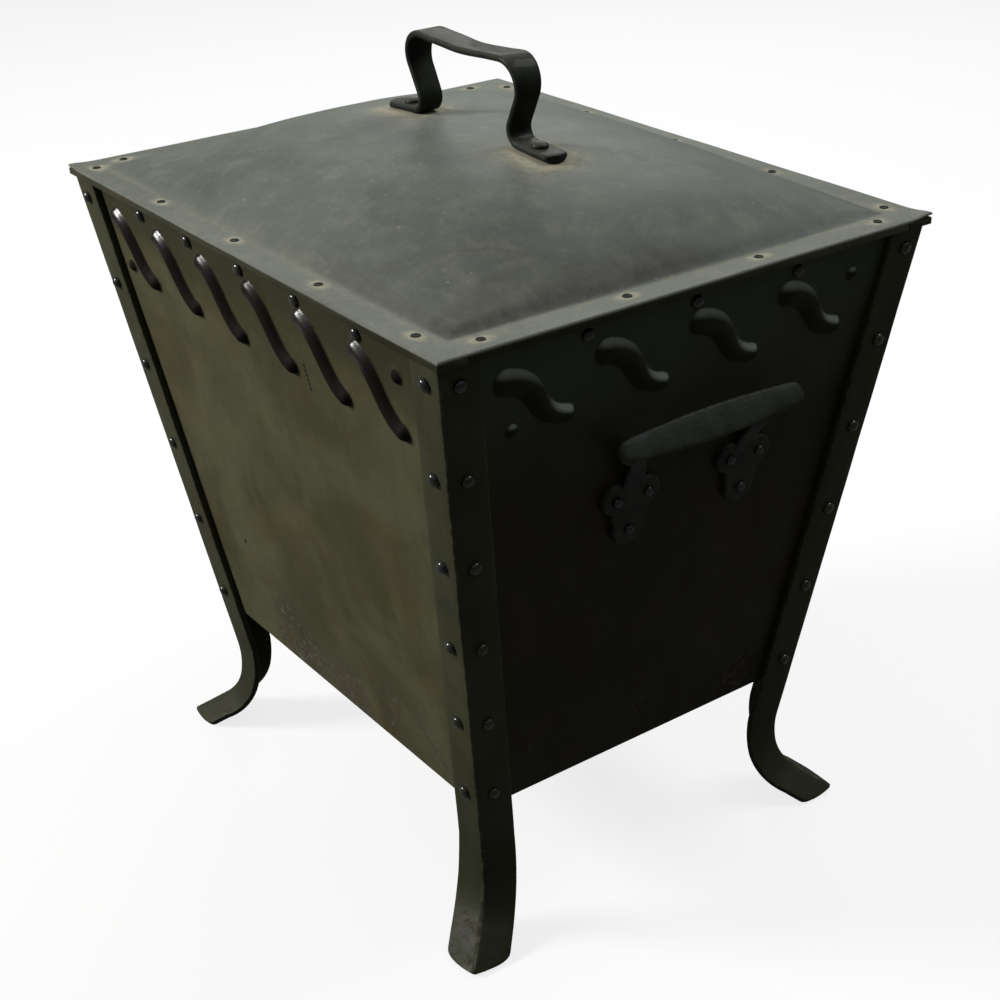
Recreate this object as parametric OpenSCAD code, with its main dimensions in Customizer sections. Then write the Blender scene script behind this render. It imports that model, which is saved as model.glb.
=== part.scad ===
// Lidded coal box of painted sheet iron.
// Four flared sheet panels are riveted inside four angle-iron corner posts,
// which run on below the box as legs and curl outward into splayed feet.
// A domed sheet lid with a strap handle lifts straight off.
// Millimetres. Origin: centre of the box on the ground. Front faces -Y, +Z up.

/* [Box] */
// Width over the posts at the top
top_w = 429; // [380:1:480]
// Depth over the posts at the top
top_d = 340; // [300:1:380]
// Width over the posts at the bottom edge of the panels
bottom_w = 328; // [290:1:370]
// Depth over the posts at the bottom edge of the panels
bottom_d = 256; // [225:1:295]
// Height of the panels
box_h = 316; // [280:1:360]
// Thickness of the panel sheet
sheet_t = 1.5; // [1:0.1:2.5]
// Width of the ledge turned in at the foot of each panel
ledge_w = 14; // [10:1:20]
// Thickness of the loose floor plate
floor_t = 2; // [1.5:0.5:4]

/* [Posts and legs] */
// Flange width of the corner angle iron
angle_w = 25; // [21:0.5:30]
// Thickness of the corner angle iron
angle_t = 4.5; // [3:0.25:6]
// Height of the panels' bottom edge above the ground
leg_h = 98.3; // [92.3:1:110.3]
// Radius of the slow outward bend
knee_r = 62; // [50:1:75]
// Outward angle at the end of the slow bend
knee_turn = 10; // [6:1:14]
// Radius of the tight bend above the foot
ankle_r = 30; // [24:1:36]
// Outward angle of the foot, from straight down
foot_turn = 58; // [52:1:62]
// Length of the foot beyond the ankle
foot_len = 29; // [24:1:34]
// Depth to which the edges of the feet are ground flat
sole_cut = 1; // [0.5:0.1:1.5]
// Length of the pointed end of the foot
foot_round = 16; // [8:1:20]
// Flange width at the foot
foot_flange = 22; // [19:0.5:25]
// Half of the angle between the flanges at the foot
foot_splay = 64; // [50:1:68]

/* [Rivets] */
// Head diameter of the dome rivets
rivet_head_d = 8; // [6:0.25:9]
// Head height of the dome rivets
rivet_head_h = 3.3; // [2:0.1:4]
// Shank diameter of the rivets
rivet_d = 4; // [3:0.25:4.5]
// Number of rivets in each post flange
post_rivets = 6; // [4:1:8]
// Distance of the post rivets from the corner edge
post_rivet_inset = 12; // [10:0.5:15]
// Drop of the highest post rivet below the top edge
post_rivet_drop = 12.4; // [10:0.2:14]
// Height of the lowest post rivet above the bottom edge
post_rivet_rise = 14; // [10:0.5:20]
// Number of rivets along the top of the front and back panels
front_rim_rivets = 5; // [3:1:7]
// Spacing of the rivets along the top of the front and back panels
front_rim_pitch = 64.7; // [40:0.1:66]
// Number of rivets along the top of the side panels
side_rim_rivets = 3; // [2:1:5]
// Spacing of the rivets along the top of the side panels
side_rim_pitch = 74; // [50:0.5:76]
// Drop of the rim rivets below the top edge
rim_rivet_drop = 9; // [8:0.5:10]

/* [Rim bars] */
// Height of the flat bars inside the top edge
rim_bar_h = 18; // [17:0.5:24]
// Thickness of the flat bars inside the top edge
rim_bar_t = 2.5; // [2:0.25:3]

/* [Embossing] */
// Number of ribs on the front and back panels
front_ribs = 6; // [4:1:6]
// Spacing of the ribs on the front and back panels
front_rib_pitch = 58.8; // [50:0.2:60]
// Length across of one rib on the front and back panels
front_rib_w = 41; // [36:1:46]
// Number of ribs on the side panels
side_ribs = 4; // [2:1:4]
// Spacing of the ribs on the side panels
side_rib_pitch = 64.8; // [58:0.2:66]
// Length across of one rib on the side panels
side_rib_w = 50; // [44:1:54]
// Shift of the front and back ribs towards the viewer's left
front_rib_shift = 3; // [0:0.5:6]
// Shift of the side ribs towards the viewer's left
side_rib_shift = 7.5; // [0:0.5:8]
// How much wider than its lower end the upper end of a side rib is
side_rib_flare = 1.5; // [1:0.1:1.6]
// How much wider than its lower end the upper end of a front or back rib is
front_rib_flare = 1.1; // [1:0.1:1.6]
// Height of a front or back rib from its upper to its lower end
front_rib_h = 39; // [32:1:41]
// Height of a side rib from its upper to its lower end
side_rib_h = 32; // [28:1:40]
// How strongly a front or back rib is bent into an S
front_rib_bow = 0.3; // [0.1:0.05:0.6]
// How strongly a side rib is bent into an S
side_rib_bow = 0.5; // [0.1:0.05:0.6]
// Width of the raised rib
rib_w = 10.5; // [8:0.5:12]
// How far a rib stands out of the sheet
rib_rise = 5; // [3:0.25:6]
// Drop of the middle of the ribs below the top edge
rib_drop = 37; // [34:1:44]
// Base diameter of the round bosses at both ends of a row of ribs
boss_d = 9; // [7:0.5:12]
// Distance of the bosses from the middle of the front and back panels
front_boss_x = 165; // [160:1:168]
// Distance of the bosses from the middle of the side panels
side_boss_x = 119; // [112:1:122]
// How far the bosses lie above and below the middle of the ribs
boss_step = 15.5; // [12:0.5:18]

/* [Lid] */
// How far the lid stands out beyond the posts on the left and the right
lid_over_side = 3.5; // [1:0.5:6]
// How far the lid stands out beyond the posts at the front and the back
lid_over_front = 2; // [1:0.5:6]
// Width of the flat border of the lid
lid_border = 19; // [18.5:0.5:24]
// Small step where the raised middle leaves the border
lid_step = 2; // [1:0.25:3]
// Height of the domed middle above the border
dome_h = 38; // [30:1:48]
// Thickness of the flat bars under the border
lid_bar_t = 4; // [3:0.25:5]
// Width of the flat bars under the border
lid_bar_w = 18.5; // [17:0.5:18.5]
// Thickness of the lip that drops inside the box
lid_lip_t = 3; // [2:0.25:3.5]
// Depth of the lip inside the box
lid_lip_h = 10; // [6:1:10]
// Distance of the border rivets from the edge of the lid
lid_rivet_inset = 11.5; // [9:0.5:12]
// Shank diameter of the flush border rivets
lid_rivet_d = 3.6; // [3:0.2:4]
// Number of border rivets along the front and the back
lid_rivets_long = 5; // [3:1:7]
// Distance of the last border rivets of the back row from the lid's ends
lid_row_end_long = 27.4; // [24:0.2:60]
// Shift of the front row of border rivets to the viewer's left
lid_rivet_shift = 9; // [0:1:10]
// Number of border rivets along each side
lid_rivets_short = 4; // [2:1:5]
// Distance of the last border rivets of each side row from the lid's ends
lid_row_end_short = 33.4; // [26:0.2:60]

/* [Lid handle] */
// Width of the lid handle's grip
strap_w = 21; // [17:0.5:24]
// Width of the lid handle's uprights and feet
upright_w = 17; // [13:0.5:21]
// Thickness of the lid handle's strap
strap_t = 4.5; // [3:0.5:6]
// Height of the top of the handle above the lid border
grip_top = 91; // [80:0.5:100]
// Half of the distance between the shoulder bends' centres
shoulder_x = 42.5; // [38:0.5:48]
// Middle radius of the shoulder bends
shoulder_r = 15; // [10:0.5:17]
// Inward lean of the uprights below the shoulders
upright_lean = 28; // [15:1:35]
// Middle radius of the bend above each foot
neck_r = 8; // [6:0.5:10]
// Radius of the dip along the grip
grip_dip_r = 200; // [150:10:300]
// Rise of the grip from its middle towards the shoulders
grip_dip = 4; // [2:0.5:6]
// Length of each foot beyond the neck bend
foot_tab = 32; // [28:0.5:40]
// Distance of the foot rivets from the middle of the handle
foot_rivet_x = 67.5; // [65:0.5:72]
// Shift of the lid handle to the viewer's right
lid_handle_shift = 2.5; // [0:0.5:5]
// Head diameter of the foot rivets
foot_rivet_head_d = 11; // [8:0.5:12]

/* [Side handles] */
// Distance between the two rivet plates of a side handle
plate_pitch = 84.4; // [76:0.2:92]
// Shift of the side handles to the viewer's right
side_handle_shift = 8.5; // [0:0.5:10]
// Drop of the middle of the rivet plates below the top edge
plate_drop = 131; // [120:1:150]
// Spacing of the three rivets in a plate
plate_rivet_pitch = 22.2; // [19:0.2:25]
// Radius of the two upper lobes of a plate
plate_lobe_r = 9.5; // [7:0.25:10]
// Radius of the lower lobe of a plate
plate_tail_r = 11; // [7:0.25:12]
// Radius of the full middle of a plate
plate_middle_r = 13; // [9:0.5:14]
// Thickness of a plate
plate_t = 4; // [2.5:0.25:5]
// Width of the strap where it leaves a plate
leg_w = 15; // [12:0.5:18]
// How far the middle of the grip stands out of the panel
grip_out = 18; // [16:0.5:30]
// How far the grip lies above the middle of the plates
grip_up = 55; // [46:1:62]
// Half of the length of the grip over its shoulders
grip_half = 66; // [60:1:72]
// Width of the grip in the middle
grip_w = 19; // [16:0.5:22]
// Thickness of the grip
grip_t = 3; // [2.5:0.25:4]
// Head diameter of the rivets in the plates
plate_rivet_head_d = 6.5; // [5:0.25:7.5]

/* [Clearances] */
// Gap between the edges of neighbouring sheets and bars
edge_gap = 0.4; // [0.2:0.1:0.8]
// Gap round the loose floor plate
floor_gap = 1; // [0.5:0.25:2]
// Gap between a rivet shank and its hole
hole_gap = 0.1; // [0.05:0.05:0.2]
// Gap between a flat foot and the curved sheet under it
seat_gap = 0.2; // [0.1:0.05:0.3]
// Gap between the sheet and the tail of a rivet through a flat foot
tail_gap = 0.3; // [0.2:0.05:0.5]

/* [Hidden] */
$fn = 48;

// Colours
post_paint = [0.16, 0.16, 0.14];
panel_paint = [0.20, 0.20, 0.16];
side_paint = [0.13, 0.13, 0.12];
lid_paint = [0.34, 0.36, 0.34];
rivet_paint = [0.28, 0.29, 0.31];
handle_paint = [0.10, 0.10, 0.11];

// Face numbers: 0 front, 1 right, 2 back, 3 left
top_z = leg_h + box_h;
lean_x = (top_w - bottom_w) / 2;
lean_y = (top_d - bottom_d) / 2;
slope_side = atan(lean_x / box_h);
slope_front = atan(lean_y / box_h);

function is_side(face) = face % 2 == 1;
function slope(face) = is_side(face) ? slope_side : slope_front;
function half_depth(face) = (is_side(face) ? bottom_w : bottom_d) / 2;
function half_bottom(face) = (is_side(face) ? bottom_d : bottom_w) / 2;
function half_top(face) = (is_side(face) ? top_d : top_w) / 2;
function face_h(face) = box_h / cos(slope(face));
function up(face, height) = height / cos(slope(face));
function half_at(face, v) =
    half_bottom(face) + (half_top(face) - half_bottom(face)) * v / face_h(face);
function edge_angle(face) = atan((half_top(face) - half_bottom(face)) / face_h(face));
function row(n, pitch) = [for (i = [0:n - 1]) (i - (n - 1) / 2) * pitch];

// Depths behind the outer plane of the posts
panel_depth = angle_t;
rim_depth = angle_t + sheet_t;
inner_depth = rim_depth + rim_bar_t;

// Rivet places on a face, as [across, up]
rivet_heights = [for (i = [0:post_rivets - 1])
    post_rivet_rise + (box_h - post_rivet_drop - post_rivet_rise) * i / (post_rivets - 1)];
function post_rivet_at(face, height) =
    [half_at(face, up(face, height)) - post_rivet_inset / cos(edge_angle(face)), up(face, height)];
function rim_rivet_xs(face) = is_side(face)
    ? row(side_rim_rivets, side_rim_pitch)
    : row(front_rim_rivets, front_rim_pitch);
function through_rim(height) = height > box_h - rim_bar_h + rivet_head_d / 2;

// Corner frame: Z along the corner edge, X outward between the two flanges
corner_z = [lean_x, -lean_y, box_h] / norm([lean_x, -lean_y, box_h]);
normal_front = [0, -cos(slope_front), -sin(slope_front)];
normal_side = [cos(slope_side), 0, -sin(slope_side)];
corner_x = (normal_front + normal_side) / norm(normal_front + normal_side);
corner_y = cross(corner_z, corner_x);
corner_turn = [atan2(corner_y.z, corner_z.z), -asin(corner_x.z), atan2(corner_x.y, corner_x.x)];
half_angle = 90 - acos(normal_front * normal_side) / 2;
corner_len = norm([lean_x, -lean_y, box_h]);

// Leg curve in the corner frame: the lean of the post counts as inward
post_lean = atan(norm([lean_x, lean_y]) / box_h);
knee_steps = 8;
ankle_steps = 10;
foot_steps = 10;
turn_knee = post_lean + knee_turn;
turn_ankle = foot_turn - knee_turn;

function run_dir(turn) = [sin(turn), -cos(turn)];
function run_normal(turn) = [cos(turn), sin(turn)];
function bend_at(start, turn0, r, turn) =
    start + r * (run_normal(turn0) - run_normal(turn0 + turn));
knee_start = [0, 0];
ankle_start = bend_at(knee_start, 0, knee_r, turn_knee);
foot_start = bend_at(ankle_start, turn_knee, ankle_r, turn_ankle);
foot_heading = turn_knee + turn_ankle;

// Leg stations: [x, z, heading, share of the way to the foot, flange width]
function point_off(s) = 1 - pow(max(0, (s - foot_len + foot_round) / foot_round), 1.7);
leg_stations = concat(
    [for (i = [0:knee_steps]) let (turn = turn_knee * i / knee_steps,
        p = bend_at(knee_start, 0, knee_r, turn))
        [p.x, p.y, turn, 0.3 * i / knee_steps, 1]],
    [for (i = [1:ankle_steps]) let (turn = turn_ankle * i / ankle_steps,
        p = bend_at(ankle_start, turn_knee, ankle_r, turn))
        [p.x, p.y, turn_knee + turn, 0.3 + 0.7 * i / ankle_steps, 1]],
    [for (i = [1:foot_steps]) let (s = foot_len * sin(90 * i / foot_steps),
        p = foot_start + s * run_dir(foot_heading))
        [p.x, p.y, foot_heading, 1, point_off(s)]]);

// Closed angle-iron outline: flanges of width w and thickness t at +-half degrees
function angle_outline(w, t, half) =
    let (tip = w * [-cos(half), sin(half)], inward = t * [-sin(half), -cos(half)])
    [[0, 0], tip, tip + inward, [-t / sin(half), 0],
     [tip.x + inward.x, -tip.y - inward.y], [tip.x, -tip.y]];

function leg_ring(st) =
    let (half = half_angle + (foot_splay - half_angle) * st[3],
         w = max(1.3 * angle_t / tan(half), (angle_w + (foot_flange - angle_w) * st[3]) * st[4]),
         n = run_normal(st[2]))
    [for (p = angle_outline(w, angle_t, half)) [st.x + p.x * n.x, -p.y, st.y + p.x * n.y]];

// Skin over a list of rings that all have the same number of points
module skin(rings) {
    n = len(rings[0]);
    m = len(rings);
    polyhedron(
        points = [for (r = rings) each r],
        faces = concat(
            [[for (j = [0:n - 1]) j]],
            [for (k = [0:m - 2]) for (j = [0:n - 1]) let (a = k * n + j, b = k * n + (j + 1) % n)
                each [[a, a + n, b], [b, a + n, b + n]]],
            [[for (j = [n - 1:-1:0]) (m - 1) * n + j]]));
}

// Children drawn on a face: x across, y up the slope, z outward, 0 on the posts' outer plane
module on_face(face) {
    rotate([0, 0, 90 * face])
        translate([0, -half_depth(face), leg_h])
            rotate([90 + slope(face), 0, 0])
                children();
}

// Straight run of the post below the panels that brings the feet to the ground
leg_low = min([for (st = leg_stations) for (p = leg_ring(st)) p * [corner_x.z, corner_y.z, corner_z.z]]);
leg_straight = (leg_h + leg_low + sole_cut) / corner_z.z;

module in_corner() {
    translate([bottom_w / 2, -bottom_d / 2, leg_h])
        rotate(corner_turn)
            children();
}

// Everything outside the height of the panels
module above_and_below(low, high) {
    reach = 2 * top_w;
    translate([-reach / 2, -reach / 2, high])
        cube([reach, reach, reach]);
    translate([-reach / 2, -reach / 2, low - reach])
        cube([reach, reach, reach]);
}

// Rivet pointing along +z: dome head above 0, shank through the grip, tail below
module rivet(grip, head_d, flush) {
    head_r = head_d / 2;
    head_h = min(rivet_head_h, 0.42 * head_d);
    ball_r = (head_r * head_r + head_h * head_h) / (2 * head_h);
    tail_h = rivet_d / 5;
    tail_r = 0.75 * rivet_d;
    rotate_extrude() {
        intersection() {
            translate([0, head_h - ball_r])
                circle(ball_r);
            square([head_r, head_h]);
        }
        translate([0, -grip])
            square([rivet_d / 2, grip]);
        if (flush)
            polygon([[0, -grip], [tail_r, -grip], [rivet_d / 2, 1 - grip], [0, 1 - grip]]);
        else
            translate([0, -grip - tail_h])
                square([tail_r, tail_h]);
    }
}

module rivet_hole(grip, flush) {
    cut_r = rivet_d / 2 + hole_gap;
    rotate_extrude() {
        translate([0, -grip - 1])
            square([cut_r, grip + 2]);
        if (flush)
            polygon([[0, -grip - 1], [cut_r + 2, -grip - 1], [cut_r, 1 - grip], [0, 1 - grip]]);
    }
}

// Grip of a post rivet at a height above the panels' bottom edge
function post_grip(height) = through_rim(height) ? inner_depth : rim_depth;

// Children at both columns of post rivets of a face, or at one column
module at_post_rivets(face, sides) {
    for (side = sides, height = rivet_heights) {
        p = post_rivet_at(face, height);
        $flush = through_rim(height);
        $grip = post_grip(height);
        on_face(face)
            translate([side * p.x, p.y, 0])
                children();
    }
}

module at_rim_rivets(face) {
    for (x = rim_rivet_xs(face))
        on_face(face)
            translate([x, up(face, box_h - rim_rivet_drop), -panel_depth])
                children();
}

// Middles of the rivet plates and the rivets in each plate
plate_v = box_h - plate_drop;
plate_spots = [[-0.5, 0.5], [0.5, 0.5], [0, -0.5]];
module at_plates(face) {
    for (x = row(2, plate_pitch))
        on_face(face)
            translate([side_handle_shift + x, up(face, plate_v), -panel_depth])
                children();
}
module at_plate_rivets(face) {
    at_plates(face)
        for (spot = plate_spots)
            translate([spot.x * plate_rivet_pitch, spot.y * plate_rivet_pitch, plate_t])
                children();
}

// One embossed rib: a lazy S whose ends run out almost level
rib_rings = 12;
function rib_point(size, bow, t) =
    [size.x / 2 * ((1 - bow) * t + bow * t * t * t), -size.y / 2 * sin(72 * t) / sin(72)];
function rib_fade(t) = sqrt(max(0.04, 1 - pow(abs(t), 12)));
function rib_swell(t, flare) = 1 + (flare - 1) * (1 - t) / 2;
function rib_ring(size, bow, along, reach, body, flare, rise, low) =
    let (t = along * reach,
         p = rib_point(size, bow, t),
         ahead = rib_point(size, bow, t + 0.01) - rib_point(size, bow, t - 0.01),
         n = [-ahead.y, ahead.x] / norm(ahead),
         fade = rib_fade(along),
         half = body * rib_swell(t, flare))
    concat([[p.x + n.x * half * fade, p.y + n.y * half * fade, low]],
        [for (a = [0:36:180]) let (q = p + n * half * fade * cos(a)) [q.x, q.y, rise * fade * sin(a)]],
        [[p.x - n.x * half * fade, p.y - n.y * half * fade, low]]);

module rib(face, half, rise, low, reach) {
    size = is_side(face) ? [side_rib_w, side_rib_h] : [front_rib_w, front_rib_h];
    bow = is_side(face) ? side_rib_bow : front_rib_bow;
    flare = is_side(face) ? side_rib_flare : front_rib_flare;
    skin([for (k = [0:rib_rings])
        rib_ring(size, bow, sin(90 * (2 * k / rib_rings - 1)), reach, half, flare, rise, low)]);
}

function rib_xs(face) = is_side(face)
    ? [for (x = row(side_ribs, side_rib_pitch)) x - side_rib_shift]
    : [for (x = row(front_ribs, front_rib_pitch)) x - front_rib_shift];
function boss_x(face) = is_side(face) ? side_boss_x : front_boss_x;

module boss(d, rise) {
    ball_r = (d * d / 4 + rise * rise) / (2 * rise);
    rotate_extrude()
        intersection() {
            translate([0, rise - ball_r])
                circle(ball_r);
            translate([0, -sheet_t / 2])
                square([d / 2, rise + sheet_t / 2]);
        }
}

module at_ribs(face) {
    for (x = rib_xs(face))
        on_face(face)
            translate([x, up(face, box_h - rib_drop), -panel_depth])
                children();
}

module at_bosses(face) {
    for (side = [-1, 1])
        on_face(face)
            translate([side * boss_x(face), up(face, box_h - rib_drop) + side * boss_step, -panel_depth])
                children();
}

// Flat plate on a face: full height, its edges held in from the neighbouring face by a depth
module face_plate(face, outer, thick, side_depth, low) {
    other = slope(face + 1);
    pull = side_depth / cos(other) + edge_gap;
    over = 10;
    difference() {
        on_face(face)
            translate([0, 0, -outer - thick])
                linear_extrude(thick)
                    polygon([
                        [-half_at(face, -over) + pull, -over],
                        [half_at(face, -over) - pull, -over],
                        [half_at(face, face_h(face) + over) - pull, face_h(face) + over],
                        [-half_at(face, face_h(face) + over) + pull, face_h(face) + over]]);
        above_and_below(low, top_z);
    }
}

// Ledge turned in at the foot of a panel, to carry the floor plate
module ledge(face) {
    front = half_depth(face) - panel_depth / cos(slope(face)) - 0.1;
    trim = is_side(face) ? ledge_w : 0;
    half = half_bottom(face) - rim_depth / cos(slope(face + 1)) - edge_gap - trim;
    rotate([0, 0, 90 * face])
        translate([-half, -front, leg_h])
            cube([2 * half, ledge_w, sheet_t]);
}

module panel(face) {
    difference() {
        union() {
            face_plate(face, panel_depth, sheet_t, is_side(face) ? rim_depth : panel_depth, leg_h);
            ledge(face);
            at_ribs(face)
                rib(face, rib_w / 2, rib_rise, -sheet_t / 2, 1);
            at_bosses(face)
                boss(boss_d, boss_d / 3);
        }
        at_ribs(face)
            rib(face, rib_w / 2 - sheet_t, rib_rise - sheet_t, -2 * sheet_t, 1 - 2 * sheet_t / front_rib_h);
        at_post_rivets(face, [-1, 1])
            rivet_hole($grip, $flush);
        at_rim_rivets(face)
            rivet_hole(rim_depth, false);
        if (is_side(face))
            at_plate_rivets(face)
                rivet_hole(plate_t + sheet_t, false);
    }
}

module rim_bar(face) {
    low = top_z - rim_bar_h;
    difference() {
        face_plate(face, rim_depth, rim_bar_t, is_side(face) ? inner_depth : rim_depth, low);
        at_post_rivets(face, [-1, 1])
            rivet_hole($grip, $flush);
        at_rim_rivets(face)
            rivet_hole(sheet_t + rim_bar_t, true);
    }
}

module floor_plate() {
    half_x = bottom_w / 2 - rim_depth / cos(slope_side) - floor_gap;
    half_y = bottom_d / 2 - rim_depth / cos(slope_front) - floor_gap;
    color(side_paint)
        translate([-half_x, -half_y, leg_h + sheet_t])
            cube([2 * half_x, 2 * half_y, floor_t]);
}

// Corner post with its leg and foot, at the front right corner
module post() {
    reach = 2 * top_w;
    difference() {
        in_corner() {
            translate([0, 0, -leg_straight])
                linear_extrude(corner_len + leg_straight + angle_w)
                    polygon(angle_outline(angle_w, angle_t, half_angle));
            translate([0, 0, -leg_straight])
                skin([for (st = leg_stations) leg_ring(st)]);
        }
        above_and_below(0, top_z);
        at_post_rivets(0, [1])
            rivet_hole($grip, $flush);
        at_post_rivets(1, [-1])
            rivet_hole($grip, $flush);
    }
}

module post_rivets() {
    at_post_rivets(0, [1])
        rivet($grip, rivet_head_d, $flush);
    at_post_rivets(1, [-1])
        rivet($grip, rivet_head_d, $flush);
}

module rim_rivets(face) {
    at_rim_rivets(face)
        rivet(sheet_t + rim_bar_t, rivet_head_d, true);
}

// Forged side handle: two trefoil plates and one strap swept between them.
// Stations: [across, up, out], width direction and width, from the plate to the middle.
function unit(v) = v / norm(v);
root_x = plate_pitch / 2;
tip_w = 0.8 * leg_w;
grip_turn = [0, -0.69, 0.72];
function leg_at(ahead, rise, out) =
    [root_x + ahead * (grip_half - root_x), rise * grip_up, plate_t / 2 + out * (grip_out - plate_t / 2)];
handle_stations = [
    [[root_x, 0.18 * plate_rivet_pitch, plate_t / 2], [1, 0, 0], leg_w],
    [[root_x, 0.585 * plate_rivet_pitch, 0.6 * plate_t], [1, 0, 0], leg_w],
    [leg_at(0, 0.4, 0.12), [1, 0, 0], leg_w],
    [leg_at(0.08, 0.55, 0.28), [1, 0, 0], 0.93 * leg_w],
    [leg_at(0.2, 0.69, 0.44), [0.9, -0.35, 0.2], 0.9 * leg_w],
    [leg_at(0.43, 0.81, 0.58), [0.62, -0.6, 0.5], 0.92 * tip_w],
    [leg_at(0.73, 0.887, 0.675), [0.25, -0.7, 0.66], 0.82 * tip_w],
    [leg_at(0.93, 0.93, 0.76), grip_turn, 0.76 * tip_w],
    [leg_at(1, 0.971, 0.88), grip_turn, 0.72 * tip_w],
    [leg_at(0.92, 1.005, 0.985), grip_turn, 0.92 * tip_w],
    [leg_at(0.66, 1.01, 1.01), grip_turn, 1.15 * tip_w],
    [[0.6 * grip_half, 1.005 * grip_up, grip_out], grip_turn, 0.85 * grip_w],
    [[0.3 * grip_half, grip_up, grip_out], grip_turn, 0.975 * grip_w],
    [[0, grip_up, grip_out], grip_turn, grip_w]];
handle_path = concat(handle_stations,
    [for (i = [len(handle_stations) - 2:-1:0]) let (s = handle_stations[i])
        [[-s[0].x, s[0].y, s[0].z], [-s[1].x, s[1].y, s[1].z], s[2]]]);

// Smooth curve through a list of values
function smooth(list, k, t) =
    let (last = len(list) - 1,
         a = list[max(0, k - 1)], b = list[k], c = list[min(last, k + 1)], d = list[min(last, k + 2)])
    b + 0.5 * t * ((c - a) + t * (2 * a - 5 * b + 4 * c - d + t * (3 * (b - c) + d - a)));
handle_steps = 2;
function handle_track(field) = concat(
    [for (k = [0:len(handle_path) - 2]) for (i = [0:handle_steps - 1])
        smooth([for (s = handle_path) s[field]], k, i / handle_steps)],
    [handle_path[len(handle_path) - 1][field]]);
track_at = handle_track(0);
track_wide = handle_track(1);
track_w = handle_track(2);
track_last = len(track_at) - 1;

// Flat strap section with a crowned outer face and eased edges
function strap_ring(k) =
    let (run = unit(track_at[min(track_last, k + 1)] - track_at[max(0, k - 1)]),
         wide = unit(track_wide[k] - (track_wide[k] * run) * run),
         out = cross(run, wide),
         half = track_w[k] / 2,
         t = grip_t / 2)
    [for (p = [[-1, -0.4], [-0.82, -1], [0.82, -1], [1, -0.4], [1, 0.3], [0.6, 1], [-0.6, 1], [-1, 0.3]])
        track_at[k] + wide * (p.x * half) + out * (p.y * t)];

module plate_outline() {
    for (spot = plate_spots)
        translate(spot * plate_rivet_pitch)
            circle(spot.y > 0 ? plate_lobe_r : plate_tail_r);
    circle(plate_middle_r);
}

module side_handle(face) {
    color(handle_paint)
        difference() {
            union() {
                at_plates(face)
                    linear_extrude(plate_t)
                        plate_outline();
                on_face(face)
                    translate([side_handle_shift, up(face, plate_v), -panel_depth])
                        skin([for (k = [0:track_last]) strap_ring(k)]);
            }
            at_plate_rivets(face)
                rivet_hole(plate_t + sheet_t, false);
        }
}

module side_handle_rivets(face) {
    color(rivet_paint)
        at_plate_rivets(face)
            rivet(plate_t + sheet_t, plate_rivet_head_d, false);
}

// Lid: flat border with a soft hipped dome
lid_w = top_w + 2 * lid_over_side;
lid_d = top_d + 2 * lid_over_front;
lid_low = top_z + lid_bar_t;
lid_top = lid_low + sheet_t;
dome_x = lid_w / 2 - lid_border;
dome_y = lid_d / 2 - lid_border;
dome_rise = dome_h - lid_step;
function step_rise(gap) = lid_step * (1 - pow(1 - min(1, gap / (2 * lid_step)), 2));
function dome_z(x, y) =
    lid_top + step_rise(min(dome_x - abs(x), dome_y - abs(y)))
    + dome_rise * (1 - pow(abs(x) / dome_x, 3)) * (1 - pow(abs(y) / dome_y, 2.4));
dome_slope_x = -3 * dome_rise * pow(foot_rivet_x, 2) / pow(dome_x, 3);
foot_tilt = atan(-dome_slope_x);
step_stops = [0, 0.35, 0.75, 1.2, 2] * lid_step;
dome_cells = 8;
function dome_stops(half) =
    let (inner = half - 2 * lid_step,
         right = [for (i = [0:dome_cells - 1]) inner * (1 - pow(1 - i / dome_cells, 1.25))],
         edge = [for (i = [len(step_stops) - 1:-1:0]) half - step_stops[i]],
         all = concat(right, edge))
    concat([for (i = [len(all) - 1:-1:1]) -all[i]], all);

module dome_shell() {
    xs = dome_stops(dome_x);
    ys = dome_stops(dome_y);
    nx = len(xs) - 1;
    ny = len(ys) - 1;
    count = (nx + 1) * (ny + 1);
    top = [for (x = xs) for (y = ys) [x, y, dome_z(x, y)]];
    low = [for (p = top) [p.x, p.y, p.z - sheet_t]];
    rim = concat(
        [for (j = [0:ny - 1]) [j, j + 1]],
        [for (i = [0:nx - 1]) [i * (ny + 1) + ny, (i + 1) * (ny + 1) + ny]],
        [for (j = [ny:-1:1]) [nx * (ny + 1) + j, nx * (ny + 1) + j - 1]],
        [for (i = [nx:-1:1]) [i * (ny + 1), (i - 1) * (ny + 1)]]);
    polyhedron(
        points = concat(top, low),
        faces = concat(
            [for (i = [0:nx - 1]) for (j = [0:ny - 1]) let (a = i * (ny + 1) + j, b = a + ny + 1)
                each [[a, a + 1, b], [b, a + 1, b + 1],
                      [count + a, count + b, count + a + 1],
                      [count + b, count + b + 1, count + a + 1]]],
            [for (e = rim) each [[e[1], e[0], count + e[0]], [e[1], count + e[0], count + e[1]]]]));
}

// Border rivet places on the lid
lid_rivet_y = lid_d / 2 - lid_rivet_inset;
lid_rivet_x = lid_w / 2 - lid_rivet_inset;
lid_row_long = row(lid_rivets_long, (lid_w - 2 * lid_row_end_long) / (lid_rivets_long - 1));
lid_row_short = row(lid_rivets_short, (lid_d - 2 * lid_row_end_short) / (lid_rivets_short - 1));
lid_rivet_spots = concat(
    [for (x = lid_row_long) [x - lid_rivet_shift, -lid_rivet_y]],
    [for (x = lid_row_long) [x, lid_rivet_y]],
    [for (y = lid_row_short) [lid_rivet_x, y]],
    [for (y = lid_row_short) [-lid_rivet_x, y]]);

module border_rivet(extra) {
    r = lid_rivet_d / 2 + extra;
    head = 0.8 * sheet_t;
    over = extra > 0 ? 1 : 0;
    translate([0, 0, top_z - over])
        cylinder(r = r, h = lid_top - top_z + 2 * over);
    translate([0, 0, lid_top - head])
        cylinder(r1 = r, r2 = r + head, h = head);
}

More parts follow.
